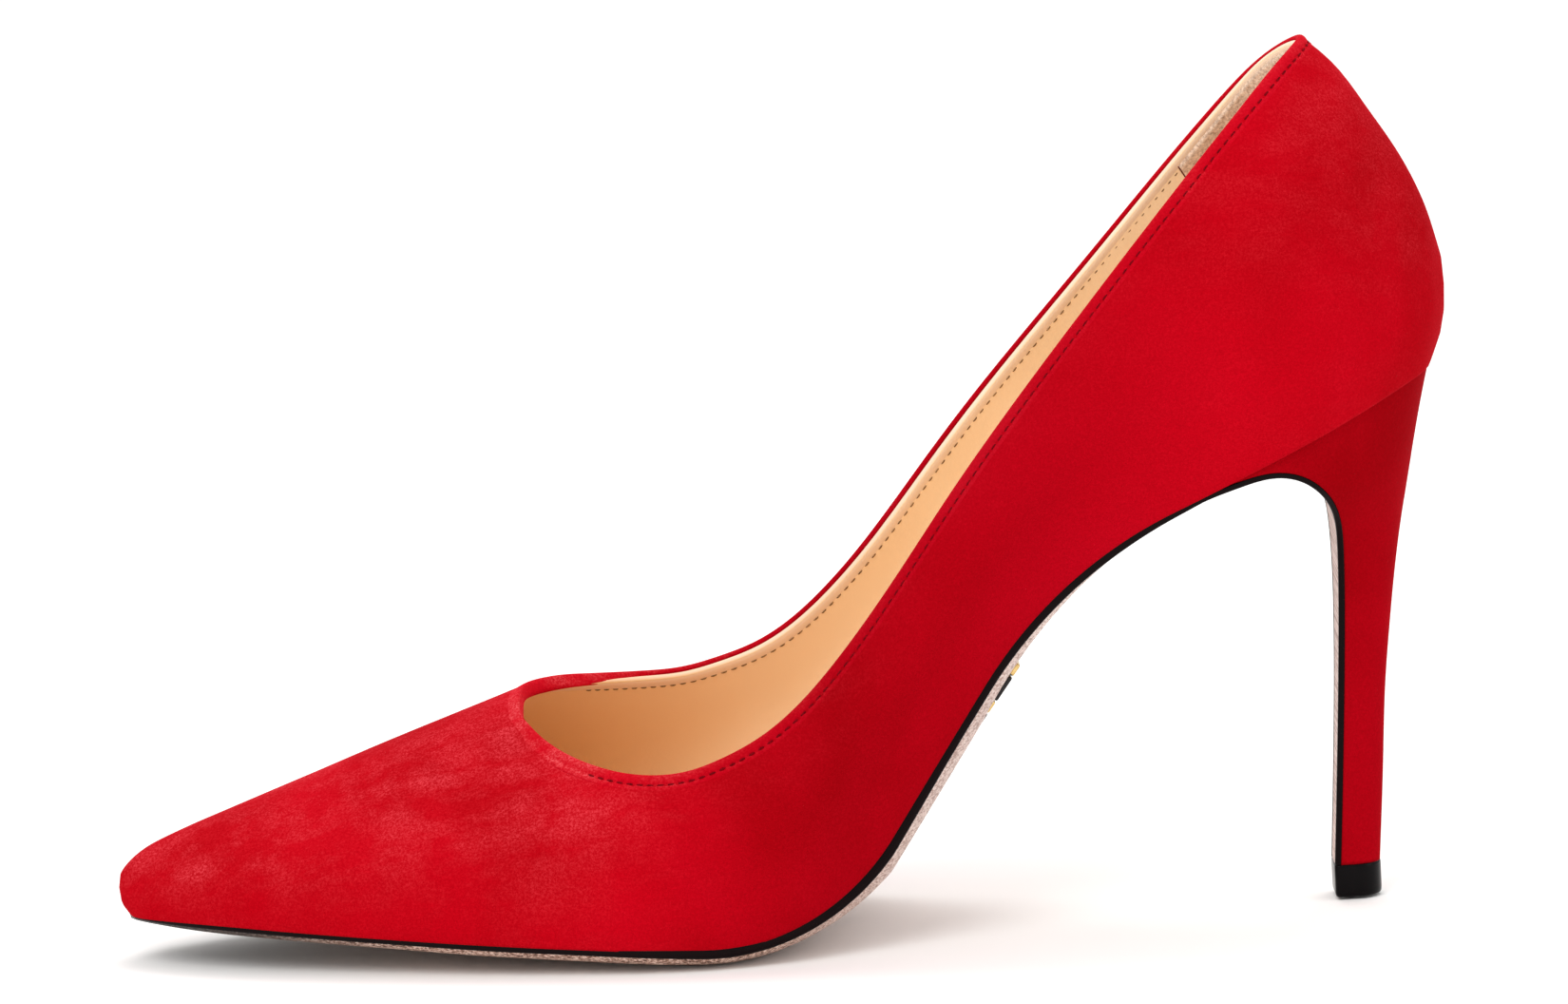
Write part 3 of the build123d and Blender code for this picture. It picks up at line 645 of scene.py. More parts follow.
def stitches(name, drop, offset, length, radius, sink):
    """A row of short thread loops that dip into the leather at both ends."""
    p, s, n, _ = ring_frames(*below_edge(*RING, drop))
    p, s, n = (np.vstack([table, table[:1]]) for table in (p, s, n))
    run = run_along(p)
    count = round(run[-1] / STITCH_PITCH)
    real = run[-1] / count
    points, faces = [], []
    along = 9

    def at(a, table):
        return np.array([np.interp(a % run[-1], run, table[:, k]) for k in range(3)])

    for i in range(count):
        mid = (i + 0.5) * real
        if at(mid, p)[0] < STITCH_START:
            continue
        faces += tube_faces(along, AROUND, len(points))
        for k in range(along):
            f = k / (along - 1)
            a = mid + (f - 0.5) * length
            pk, nk, sk = at(a, p), at(a, n), at(a, s)
            side = np.cross(sk, nk)
            lift = offset + radius * 0.55 - sink * (2 * f - 1) ** 4
            fat = radius * (0.55 + 0.45 * sin(pi * f))
            for j in range(AROUND):
                w = 2 * pi * j / AROUND
                points.append(pk + nk * (lift + 0.75 * fat * sin(w)) + side * fat * cos(w))
    return make_object(name, np.array(points), faces, 0.000001)


def thread_line(name, paths, radius):
    """Thin round cords along the given rows of points, closed at both ends."""
    points, faces = [], []
    for path in paths:
        tan = unit(np.gradient(path, axis=0))
        side = unit(np.cross(tan, [0.0, 1.0, 0.0]))
        faces += tube_faces(len(path), AROUND, len(points))
        for p, u, v in zip(path, side, np.cross(side, tan)):
            for j in range(AROUND):
                w = 2 * pi * j / AROUND
                points.append(p + radius * (u * cos(w) + v * sin(w)))
    return make_object(name, np.array(points), faces, 0.000001)


# ---- sole
def breast_curve(n):
    """n even points (x, z) down the front of the heel, from the waist to the tip."""
    b = np.array(BREAST)
    run = run_flat(b)
    return spline_weights(run / run[-1], np.linspace(0, 1, n)) @ b


def smooth_table(table, column, z):
    """Column of a table at z, on a curve that never swings past its neighbours."""
    rows = np.array(table)
    x, y = rows[:, 0], rows[:, column]
    h, s = np.diff(x), np.diff(y) / np.diff(x)
    m = np.zeros(len(x))
    m[0], m[-1] = s[0], s[-1]
    for i in range(1, len(x) - 1):
        if s[i - 1] * s[i] > 0:
            w1, w2 = 2 * h[i] + h[i - 1], h[i] + 2 * h[i - 1]
            m[i] = (w1 + w2) / (w1 / s[i - 1] + w2 / s[i])
    z = np.clip(z, x[0], x[-1])
    i = np.clip(np.searchsorted(x, z) - 1, 0, len(x) - 2)
    t = (z - x[i]) / h[i]
    return hermite(t, h[i], y[i], y[i + 1], m[i], m[i + 1])


def heel_width(x, z):
    """Half width of the heel at (x, z)."""
    back, depth, half = (smooth_table(HEEL, k, z) for k in (1, 2, 3))
    q = np.clip((x - back + depth) / depth, 0, 1)
    return half * np.sqrt(np.clip(1 - q * q, 0, 1))


SOLE_TOE_X = -117.3
SOLE_COLS = 41
# how square the sole's crown is: at these x, these powers
CROWN_POWER = ([-118, -100, -25, 2, 18, 74], [3.0, 9.0, 15.0, 6.0, 2.6, 2.3])


def sole_path():
    """The sole from toe to heel tip: rim and keel (x, z), half width, edge, normal and centre y."""
    x = np.concatenate([
        SOLE_TOE_X + 13.3 * np.linspace(0, 1, 30) ** 2.0,
        np.linspace(-104.0, -30.0, 44)[1:],
        np.linspace(-30.0, 74.0, 90)[1:],
    ])
    held = np.maximum(x, -117.0)
    row = faired(SOLE, held)
    slope = foot(held)[1]
    edge, crown = row[:, 2] / np.cos(slope), row[:, 3] / np.cos(slope)
    z = foot(x)[0]
    tip = np.clip((x - SOLE_TOE_X) / 1.1, 0, 1)
    width = row[:, 1] * np.sqrt(tip * (2 - tip))
    rim = np.stack([x, z - edge], axis=1)
    keel = np.stack([x, z - edge - crown], axis=1)
    thick = edge * np.cos(slope)
    b = breast_curve(110)[1:]
    flap = heel_width(b[:, 0] + 1.0, b[:, 1])
    fade = np.clip(1 - np.arange(len(b)) / 14.0, 0, 1)[:, None] ** 2
    blend = np.clip(np.arange(len(b)) / 16.0, 0, 1)
    b = b + (rim[-1] - np.array(BREAST[0])) * fade
    keel = np.vstack([keel, b + (keel[-1] - rim[-1]) * fade])
    rim = np.vstack([rim, b])
    width = np.concatenate([width, width[-1] * (1 - blend) + flap * blend])
    thick = np.concatenate([thick, thick[-1] + (1.0 - thick[-1]) * blend])
    centre = np.concatenate([row[:, 4], row[-1, 4] * (1 - blend)])
    tan = unit(np.gradient(rim, axis=0))
    nrm = np.stack([-tan[:, 1], tan[:, 0]], axis=1)
    return rim, keel, width, thick, nrm, centre


def outsole_skin():
    """Leather underside: crowned across, following the arch and running down the heel breast."""
    rim, keel, width, thick, nrm, centre = sole_path()
    q = np.sin(np.linspace(-1, 1, SOLE_COLS) * pi / 2)
    edge_gap = np.minimum(0.22, 0.4 * width)
    y = centre[:, None] + (width - edge_gap)[:, None] * q[None, :]
    bulge = 1 - np.abs(q)[None, :] ** np.interp(rim[:, 0], *CROWN_POWER)[:, None]
    under = rim[:, None, :] + (keel - rim)[:, None, :] * bulge[..., None]
    under[..., 1] = np.maximum(under[..., 1], 0.0)
    low = np.stack([under[..., 0], y, under[..., 1]], axis=2)
    over = rim[:, None, :] + (nrm * (thick * 0.85)[:, None])[:, None, :] + 0 * under
    high = np.stack([over[..., 0], y, over[..., 1]], axis=2)
    ring = np.concatenate([low, high[:, ::-1]], axis=1)
    return make_object("outsole_skin", ring.reshape(-1, 3), tube_faces(len(rim), 2 * SOLE_COLS))


# the painted edge's profile: mm outward, share of the edge's thickness upward


EDGE_BAND = [
    (-0.9, -0.02), (-0.35, -0.10), (-0.05, -0.02), (0.12, 0.18), (0.16, 0.42), (0.10, 0.66),
    (0.16, 0.84), (0.02, 1.02), (-0.35, 1.06), (-0.9, 1.0), (-1.2, 0.5),
]


def sole_edge():
    """Painted edge: a narrow band round the toe, along both sides of the arch and down the breast."""
    rim, _, width, thick, nrm, centre = sole_path()

    def both(values):
        return np.concatenate([values[::-1], values[1:]])

    left = np.stack([rim[:, 0], centre - width, rim[:, 1]], axis=1)
    right = np.stack([rim[:, 0], centre + width, rim[:, 1]], axis=1)
    path = np.concatenate([left[::-1], right[1:]])
    up = both(np.stack([nrm[:, 0], 0 * width, nrm[:, 1]], axis=1))
    tan = unit(np.gradient(path, axis=0))
    out = unit(np.cross(tan, up))
    middle = len(left) // 2
    if out[middle, 1] * path[middle, 1] < 0:
        out = -out
    for _ in range(2):
        out[1:-1] = 0.25 * out[:-2] + 0.5 * out[1:-1] + 0.25 * out[2:]
    out = unit(out)
    inset = np.minimum(1.0, np.maximum(both(width), 0.05) / 1.3)
    loops = []
    for o, f in EDGE_BAND:
        shift = np.where(o < 0, o * inset, o)
        loops.append(path + out * shift[:, None] + up * (f * both(thick))[:, None])
    grid = np.stack(loops, axis=1)
    return make_object("sole_edge", grid.reshape(-1, 3), tube_faces(*grid.shape[:2]))


LIFT_HEIGHT = 5.8
SEAT_LAP = 0.3  # the heel's cover reaches this far into the seat


def heel_cover_skin():
    """Suede-wrapped heel: loops that lie flat at the tip and fan up to the seat line."""
    n_up, n_round = 120, 34
    b = breast_curve(n_up)[::-1]
    tan = unit(np.gradient(b, axis=0))
    into = np.stack([tan[:, 1], -tan[:, 0]], axis=1)
    if into[0, 0] < 0:
        into = -into
    k = b + into * 1.0
    k[0, 1] = LIFT_HEIGHT
    run = run_flat(b)
    seat_back_z = 97.0
    for _ in range(20):
        back = float(smooth_table(HEEL, 1, np.array([seat_back_z]))[0])
        seat_back_z = float(foot(back)[0]) + SEAT_LAP
    zb = LIFT_HEIGHT + run / run[-1] * (seat_back_z - LIFT_HEIGHT)
    xb = smooth_table(HEEL, 1, zb)
    ease = np.sin(np.linspace(0, 1, n_round) * pi / 2)
    rows = []
    for i in range(n_up):
        x = k[i, 0] + (xb[i] - k[i, 0]) * ease
        f = (x - k[i, 0]) / (xb[i] - k[i, 0])
        z = k[i, 1] + (zb[i] - k[i, 1]) * f
        top = run[i] / run[-1]
        seat = foot(x)[0] + SEAT_LAP
        chord = seat[0] + (seat[-1] - seat[0]) * f
        z = z + (seat - chord) * top**4
        y = heel_width(x, z)
        y[-1] = 0.0
        loop = np.stack([x, -y, z], axis=1)
        rows.append(np.concatenate([loop, loop[::-1][1:] * np.array([1, -1, 1])]))
    grid = np.array(rows)
    cols = grid.shape[1]
    faces = grid_faces(n_up, cols)
    for i in range(n_up - 1):
        faces.append((i * cols, (i + 1) * cols, (i + 1) * cols + cols - 1, i * cols + cols - 1))
    for base in (0, (n_up - 1) * cols):
        for j in range(cols // 2):
            faces.append((base + j, base + j + 1, base + cols - 2 - j, base + cols - 1 - j))
    return make_object("heel_cover_skin", grid.reshape(-1, 3), faces)


# eased edges of the heel tip: height, share of the full outline
LIFT_LEVELS = [
    (0.0, 0.72), (0.0, 0.90), (0.08, 0.955), (0.35, 0.985), (1.0, 1.0),
    (5.3, 1.0), (5.62, 0.99), (LIFT_HEIGHT, 0.96), (LIFT_HEIGHT, 0.7),
]


def top_lift_skin():
    """Moulded heel tip: straight front with small corners, rounded back, eased edges."""
    low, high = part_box("top_lift")
    x0, x1 = low[0] * 1000, high[0] * 1000
    half = (high[1] - low[1]) * 500
    front = x0 + 0.05
    corner, depth = 0.9, 4.6
    quarter = pi / 2
    outline = []
    for side, start, stop in ((-1, -pi, -quarter), (0, -quarter, quarter), (1, quarter, pi)):
        for a in np.linspace(start, stop, 8 if side else 40):
            if side:
                x, y = front + corner + corner * cos(a), side * (half - corner) + corner * sin(a)
            else:
                x, y = x1 - depth + depth * cos(a), half * sin(a)
            outline.append((x, y))
    outline = np.array(outline)
    hub = np.array([(x0 + x1) / 2, 0])
    points = [(*p, z) for z, share in LIFT_LEVELS for p in hub + (outline - hub) * share]
    faces = tube_faces(len(LIFT_LEVELS), len(outline), flip=True)
    return make_object("top_lift_skin", np.array(points), faces)


SOCK_THICK, SOCK_INSET = 0.8, 2.3


def sock_skin():
    """Sock lining over its thin foam, from toe to seat."""
    x = np.concatenate([np.linspace(-104.0, -60.0, 30), np.linspace(-60.0, 112.5, 130)[1:]])
    z, slope = foot(x)
    lift = SOCK_TOP / np.cos(slope)
    y, zz = sections(x)
    cols = 23
    q = np.linspace(-1, 1, cols)
    top, bottom = [], []
    for i in range(len(x)):
        gap = zz[i] - (z[i] + lift[i])
        inner = np.interp(crossing(FINE_T, gap, 0.0, 0.4), FINE_T, y[i]) - SOCK_INSET
        outer = np.interp(crossing(FINE_T, gap, 1.0, 0.6), FINE_T, y[i]) + SOCK_INSET
        mid, half = (inner + outer) / 2, max((inner - outer) / 2, 0.2)
        for out, down in ((top, 0.0), (bottom, SOCK_THICK)):
            height = np.full(cols, z[i] + lift[i] - down / cos(slope[i]))
            out.append(np.stack([np.full(cols, x[i]), mid + half * q, height], axis=1))
    ring = np.concatenate([np.array(top), np.array(bottom)[:, ::-1]], axis=1)
    return make_object("sock_skin", ring.reshape(-1, 3), tube_faces(len(x), 2 * cols))


GRIP_FRONT_X = 73.0
GRIP_RAISE = 0.42  # how far the patch stands off the lining inside its border
GRIP_BACK = 1.7


def grip_skin():
    """Heel grip patch inside the back, slanted in front on each side, and dark seams along those edges,
    partly a painted shadow of the patch's step.
    """
    x, t = RING
    keep = x > GRIP_FRONT_X
    xs, ts = x[keep], t[keep]
    side = np.linspace(-1, 1, len(xs))
    end_x = 114.5 - 22.0 * np.abs(side) ** 1.4
    end_t = 0.5 + 0.29 * side
    top, low = [], []
    steps = np.concatenate([[0.03], 0.04 + 0.94 * np.linspace(0, 1, 32) ** 1.2, [1.0]])
    for i, f in enumerate(steps):
        p, _, _, n = last_frame(xs + (end_x - xs) * f, ts + (end_t - ts) * f)
        inside = 0 < i < len(steps) - 1
        off = np.full(len(p), -(2.16 + 1.35 * min(1.0, f / 0.3)) - (GRIP_RAISE if inside else 0.0))
        if inside:
            off[[0, -1]] += GRIP_RAISE
        top.append(p + n * off[:, None])
        low.append(p - n * GRIP_BACK)
    a, b = np.array(top), np.array(low)
    rows, cols = a.shape[:2]
    count = rows * cols
    faces = grid_faces(rows, cols)
    faces += [tuple(reversed([v + count for v in f])) for f in grid_faces(rows, cols)]
    border = list(range(cols)) + [i * cols + cols - 1 for i in range(1, rows)]
    border += [(rows - 1) * cols + j for j in range(cols - 2, -1, -1)]
    border += [i * cols for i in range(rows - 2, 0, -1)]
    for v, w in zip(border, border[1:] + border[:1]):
        faces.append((v, w, w + count, v + count))
    patch = make_object("grip_skin", np.concatenate([a.reshape(-1, 3), b.reshape(-1, 3)]), faces)
    return patch, thread_line("grip_seam", (a[:, 0], a[:, -1]), 0.16)


BADGE_X, BADGE_Y = 37.6, -0.8
BADGE_DROP = 5.3  # from the foot line through the sole, square to it
BADGE_SINK = 2.25
BADGE_TILT = radians(2.0)


def badge_blocks(name, spans, low, high, corner):
    """Rounded blocks on the waist of the sole: (middle, half length, half width) along the badge."""
    z, slope = foot(BADGE_X)
    slope = float(slope)
    origin = np.array([BADGE_X, BADGE_Y, float(z) - BADGE_DROP / cos(slope) - BADGE_SINK])
    slope += BADGE_TILT
    along = np.array([cos(slope), 0, sin(slope)])
    down = np.array([sin(slope), 0, -cos(slope)])
    across = np.array([0, 1.0, 0])
    levels = [(low, 0.0), (high + 0.25, 0.0), (high + 0.07, 0.07), (high, 0.25)]
    arc = 7
    points, faces = [], []
    for middle, half_length, half_width in spans:
        faces += tube_faces(len(levels), 4 * arc, len(points), flip=True)
        for h, inset in levels:
            for sx, sy, start in ((1, 1, 0), (-1, 1, 90), (-1, -1, 180), (1, -1, 270)):
                for a in np.linspace(start, start + 90, arc):
                    u = sx * (half_length - corner) + (corner - inset) * cos(radians(a))
                    v = sy * (half_width - corner) + (corner - inset) * sin(radians(a))
                    points.append(origin + along * (middle + u) + across * v - down * h)
    return make_object(name, np.array(points), faces)


# ---- materials
def new_material(name):
    mat = bpy.data.materials.new(name)
    mat.use_nodes = True
    tree = mat.node_tree
    tree.nodes.clear()
    out = tree.nodes.new("ShaderNodeOutputMaterial")
    shader = tree.nodes.new("ShaderNodeBsdfPrincipled")
    tree.links.new(shader.outputs["BSDF"], out.inputs["Surface"])
    tree.nodes.new("ShaderNodeTexCoord")
    return mat, tree, shader


def here(tree):
    """The point being shaded, in the shoe's frame."""
    return tree.nodes["Texture Coordinate"].outputs["Object"]


def noise(tree, scale, detail=3.0, rough=0.55, stretch=None, distortion=0.0):
    node = tree.nodes.new("ShaderNodeTexNoise")
    node.inputs["Scale"].default_value = scale
    node.inputs["Detail"].default_value = detail
    node.inputs["Roughness"].default_value = rough
    node.inputs["Distortion"].default_value = distortion
    source = here(tree)
    if stretch:
        mapping = tree.nodes.new("ShaderNodeMapping")
        mapping.inputs["Scale"].default_value = stretch[0]
        mapping.inputs["Rotation"].default_value = stretch[1]
        tree.links.new(source, mapping.inputs["Vector"])
        source = mapping.outputs["Vector"]
    tree.links.new(source, node.inputs["Vector"])
    return node.outputs["Fac"]


def ramp(tree, source, stops):
    node = tree.nodes.new("ShaderNodeValToRGB")
    els = node.color_ramp.elements
    while len(els) > 1:
        els.remove(els[-1])
    els[0].position, els[0].color = stops[0][0], (*stops[0][1], 1)
    for place, colour in stops[1:]:
        e = els.new(place)
        e.color = (*colour, 1)
    tree.links.new(source, node.inputs["Fac"])
    return node.outputs["Color"]


def feed(tree, socket, value):
    """Sets a socket to a number or a colour, or links another socket to it."""
    if isinstance(value, tuple):
        socket.default_value = (*value, 1)
    elif isinstance(value, (int, float)):
        socket.default_value = value
    else:
        tree.links.new(value, socket)


def math_node(tree, kind, a, b):
    node = tree.nodes.new("ShaderNodeMath")
    node.operation = kind
    feed(tree, node.inputs[0], a)
    feed(tree, node.inputs[1], b)
    return node.outputs[0]


def mix(tree, fac, a, b, kind="MIX"):
    """Colours a and b mixed by fac."""
    node = tree.nodes.new("ShaderNodeMix")
    node.data_type = "RGBA"
    node.blend_type = kind
    for name, value in (("Factor", fac), ("A", a), ("B", b)):
        wanted = "VALUE" if name == "Factor" else "RGBA"
        feed(tree, [s for s in node.inputs if s.name == name and s.type == wanted][0], value)
    return [s for s in node.outputs if s.type == "RGBA"][0]


def bump(tree, shader, height, distance, strength=1.0, below=None):
    node = tree.nodes.new("ShaderNodeBump")
    node.inputs["Distance"].default_value = distance
    node.inputs["Strength"].default_value = strength
    tree.links.new(height, node.inputs["Height"])
    if below is not None:
        tree.links.new(below, node.inputs["Normal"])
    if shader is not None:
        tree.links.new(node.outputs["Normal"], shader.inputs["Normal"])
    return node.outputs["Normal"]


def along_shoe(tree, stops):
    """A grey value that follows the length of the shoe, stops in mm from the middle."""
    split = tree.nodes.new("ShaderNodeSeparateXYZ")
    tree.links.new(here(tree), split.inputs[0])
    place = math_node(tree, "MULTIPLY", split.outputs["X"], 1 / 0.25)
    place = math_node(tree, "ADD", place, 0.5)
    return ramp(tree, place, [(0.5 + x / 250.0, (v, v, v)) for x, v in stops])


def grey(value):
    return (value,) * 3


def times(tree, first, *others):
    """Product of sockets and numbers."""
    for other in others:
        first = math_node(tree, "MULTIPLY", first, other)
    return first


def settings(tree, shader, **values):
    """Sets or links the shader's inputs by name, with _ standing for a space."""
    for name, value in values.items():
        feed(tree, shader.inputs[name.replace("_", " ")], value)


def suede(name, dark, base, light, patch, nap_sheen=1.0, sheen=0.25):
    """Napped leather: lighter brushed patches where it faces up, a painted sheen, with short streaks, specks
    and fine fibre bump.
    """
    mat, tree, shader = new_material(name)
    broad = noise(tree, 14.0, 3.0, 0.6, distortion=0.5)
    cloud = noise(tree, 42.0, 5.0, 0.66, distortion=0.8)
    brushed = noise(tree, 230.0, 5.0, 0.70, ((0.30, 1.0, 0.9), (0.0, 0.45, 0.3)), 0.4)
    fibre = noise(tree, 3000.0, 3.0, 0.75, ((1.0, 0.6, 0.75), (0.2, 0.5, 0.1)))
    speck = noise(tree, 2400.0, 3.0, 0.85)
    pile = noise(tree, 900.0, 3.0, 0.65)
    body = ramp(tree, broad, [(0.30, dark), (0.50, base), (0.70, light)])
    # darker from about x -30 to 80 mm, most from 8 to 45 mm: painted shade
    stops = [(-110, 1.0), (-30, 1.0), (8, 0.74), (45, 0.80), (80, 0.98), (118, 0.92)]
    colour = mix(tree, 1.0, body, along_shoe(tree, stops), "MULTIPLY")
    # lighter nap patches, strongest on the toe, vamp and back and where the surface faces up: painted sheen
    both = times(tree, cloud, brushed)
    over = ramp(tree, both, [(0.19, grey(0.10)), (0.36, (1, 1, 1))])
    stops = [
        (-118, 0.95), (-95, 0.75), (-70, 0.70), (-40, 0.85),
        (-8, 0.12), (50, 0.05), (80, 0.22), (115, 0.55),
    ]
    where = along_shoe(tree, stops)
    facing = tree.nodes.new("ShaderNodeNewGeometry")
    split = tree.nodes.new("ShaderNodeSeparateXYZ")
    tree.links.new(facing.outputs["Normal"], split.inputs[0])
    stops = [(0.02, grey(0.10)), (0.35, grey(0.35)), (0.75, grey(1.0))]
    lit_side = ramp(tree, split.outputs["Z"], stops)
    dotted = ramp(tree, speck, [(0.44, grey(0.12)), (0.60, grey(1.0))])
    sheen_amount = times(tree, over, where, lit_side, times(tree, dotted, 0.9 * nap_sheen))
    # patch: the colour of the painted sheen
    colour = mix(tree, sheen_amount, colour, patch)
    stops = [(0.30, grey(0.82)), (0.52, grey(1.0)), (0.74, (1.22, 1.5, 1.5))]
    grain = ramp(tree, speck, stops)
    colour = mix(tree, 0.85, colour, grain, "MULTIPLY")
    settings(tree, shader, Base_Color=colour, Roughness=0.95, Specular_IOR_Level=0.015)
    settings(tree, shader, Sheen_Weight=sheen, Sheen_Roughness=0.32, Sheen_Tint=(1.0, 0.07, 0.10))
    first = bump(tree, None, pile, 0.00012, 0.6)
    bump(tree, shader, fibre, 0.00007, 0.7, first)
    return mat


def smooth_leather(name, base, shade, deep, grain_scale, grain_depth, roughness):
    """Fine-grained lining leather, browner towards the toe: painted shade inside the toe."""
    mat, tree, shader = new_material(name)
    broad = noise(tree, 22.0, 3.0, 0.55)
    colour = ramp(tree, broad, [(0.3, shade), (0.65, base)])
    # browner towards the toe: painted shade
    toe = along_shoe(tree, [(-60, 1.0), (-35, 0.75), (-5, 0.3), (30, 0.0)])
    cells = tree.nodes.new("ShaderNodeTexVoronoi")
    cells.inputs["Scale"].default_value = grain_scale
    cells.feature = "SMOOTH_F1"
    tree.links.new(here(tree), cells.inputs["Vector"])
    fine = noise(tree, grain_scale * 2.3, 3.0, 0.6)
    height = math_node(tree, "ADD", cells.outputs["Distance"], fine)
    bump(tree, shader, height, grain_depth, 0.7)
    stops = [(0.3, grey(roughness - 0.06)), (0.7, grey(roughness + 0.08))]
    settings(tree, shader, Base_Color=mix(tree, toe, colour, deep), Roughness=ramp(tree, fine, stops))
    settings(tree, shader, Specular_IOR_Level=0.4, Sheen_Weight=0.1)
    return mat


def sole_leather(name):
    """Nude leather sole: rough copper-brown stipple in the tread, fine ribs across the waist."""
    mat, tree, shader = new_material(name)
    waist = along_shoe(tree, [(-6, 0.0), (14, 1.0)])
    broad = noise(tree, 60.0, 4.0, 0.6)
    stip = noise(tree, 1500.0, 4.0, 0.8)
    stops = [(0.40, (0.035, 0.010, 0.006)), (0.49, (0.34, 0.16, 0.10)), (0.58, (0.84, 0.64, 0.54))]
    tread = ramp(tree, stip, stops)
    tip = along_shoe(tree, [(-113, 0.04), (-96, 0.16), (-80, 0.62), (-66, 1.0)])
    tread = mix(tree, 1.0, tread, tip, "MULTIPLY")
    plain = ramp(tree, broad, [(0.3, (0.62, 0.46, 0.41)), (0.7, (0.76, 0.60, 0.54))])
    fine = noise(tree, 2600.0, 2.0, 0.6, ((1.0, 0.01, 1.0), (0.0, 0.0, 0.0)))
    lines = ramp(tree, fine, [(0.40, (0.50, 0.38, 0.34)), (0.56, (1.0, 1.0, 1.0))])
    ribbed = mix(tree, 1.0, plain, lines, "MULTIPLY")
    first = bump(tree, None, stip, 0.00020, 0.7)
    bump(tree, shader, fine, 0.00012, 0.8, first)
    colour = mix(tree, waist, tread, ribbed)
    settings(tree, shader, Base_Color=colour, Roughness=0.45, Specular_IOR_Level=0.30)
    return mat


def toned(name, scale, detail, rough, stops, depth, strength, **values):
    """Material with one noise for its tone and its bump, and fixed shader settings."""
    mat, tree, shader = new_material(name)
    grain = noise(tree, scale, detail, rough)
    bump(tree, shader, grain, depth, strength)
    settings(tree, shader, Base_Color=ramp(tree, grain, stops), **values)
    return mat, tree, shader


def gloss_plastic(name, colour, roughness, specular=0.5):
    """Smooth paint, enamel or moulded plastic with slightly uneven gloss."""
    stops = [(0.3, tuple(c * 0.8 for c in colour)), (0.7, colour)]
    mat, tree, shader = toned(
        name, 700.0, 3.0, 0.6, stops, 0.00002, 0.6, Specular_IOR_Level=specular
    )
    uneven = noise(tree, 160.0, 3.0, 0.6)
    stops = [(0.3, grey(roughness * 0.8)), (0.7, grey(roughness * 1.3))]
    settings(tree, shader, Roughness=ramp(tree, uneven, stops))
    return mat


def thread(name, colour, dark):
    """Twisted sewing thread."""
    stops = [(0.3, dark), (0.7, colour)]
    values = {"Roughness": 0.7, "Specular IOR Level": 0.04}
    return toned(name, 2400.0, 2.0, 0.5, stops, 0.00006, 0.8, **values)[0]


def metal_fleck(name, base, dark, metallic, roughness, scale):
    """Metal, or suede with a metallic fleck."""
    stops = [(0.32, dark), (0.66, base)]
    values = {"Metallic": metallic, "Roughness": roughness}
    return toned(name, scale, 3.0, 0.7, stops, 0.00010, 0.8, **values)[0]


RED_DARK = (0.33, 0.0004, 0.0030)
RED = (0.43, 0.0006, 0.0060)
RED_LIGHT = (0.48, 0.0012, 0.0090)
# lighter pink of the nap where it faces up: painted sheen
RED_SHEEN_PATCH = (0.62, 0.050, 0.065)
mat_suede = suede("suede_red", RED_DARK, RED, RED_LIGHT, RED_SHEEN_PATCH)
# lighter copy of the suede for the topline's folded edge: painted highlight along the crest
mat_fold_highlight = suede("suede_red_edge_highlight", RED, RED_LIGHT, (0.54, 0.006, 0.018), (0.66, 0.09, 0.10), 1.2, 0.5)
# darker copy of the upper's suede for the heel: painted shade
HEEL_RED_SHADED = ((0.24, 0.0003, 0.0020), (0.31, 0.0005, 0.0038), (0.38, 0.0008, 0.006), (0.50, 0.012, 0.020))
mat_heel_shaded = suede("suede_red_heel_shaded", *HEEL_RED_SHADED, 0.4, 0.2)
mat_thread = thread("thread_red", (0.20, 0.001, 0.005), (0.09, 0.0004, 0.002))
mat_thread_brown = thread("thread_brown", (0.34, 0.20, 0.09), (0.12, 0.06, 0.025))
# each: base tone, darker tone, and the browner painted shade towards the toe
LINING_TAN = ((0.95, 0.72, 0.47), (0.90, 0.66, 0.41), (0.78, 0.40, 0.14))
SOCK_TAN = ((0.92, 0.69, 0.45), (0.86, 0.62, 0.39), (0.76, 0.40, 0.15))
BAND_TAN = ((0.88, 0.69, 0.52), (0.80, 0.60, 0.44), (0.80, 0.48, 0.27))
mat_lining = smooth_leather("lining_leather", *LINING_TAN, 1500.0, 0.00002, 0.48)
mat_sock = smooth_leather("sock_leather", *SOCK_TAN, 1300.0, 0.00003, 0.5)
mat_band = smooth_leather("lining_binding", *BAND_TAN, 1500.0, 0.00002, 0.5)
mat_grip = metal_fleck("grip_suede", (0.86, 0.66, 0.50), (0.40, 0.26, 0.18), 0.25, 0.55, 1800.0)
mat_edge = gloss_plastic("edge_paint", (0.004, 0.0008, 0.001), 0.22, 0.07)
mat_enamel = gloss_plastic("badge_enamel_black", (0.006, 0.002, 0.002), 0.15, 0.3)
# dark cord along the grip's front edges: seam thread and painted shadow of the step
mat_seam_and_shadow = thread("grip_seam_and_shadow", (0.16, 0.03, 0.02), (0.06, 0.012, 0.01))
mat_lift = gloss_plastic("top_lift_rubber", (0.002, 0.0012, 0.0015), 0.22, 0.08)
mat_sole = sole_leather("sole_leather_nude")
mat_badge = metal_fleck("badge_metal", (0.80, 0.58, 0.24), (0.62, 0.42, 0.16), 1.0, 0.28, 400.0)

# finishes of the parts that stay hidden inside
INNER = {
    "tape": ((0.55, 0.50, 0.42), 0.8),
    "stiffener": ((0.50, 0.46, 0.40), 0.85),
    "board": ((0.42, 0.30, 0.18), 0.85),
    "filler": ((0.30, 0.22, 0.15), 0.9),
    "foam": ((0.75, 0.70, 0.60), 0.9),
    "heel_plastic": ((0.62, 0.58, 0.50), 0.5),
}


def paint(obj, mat):
    obj.data.materials.clear()
    obj.data.materials.append(mat)


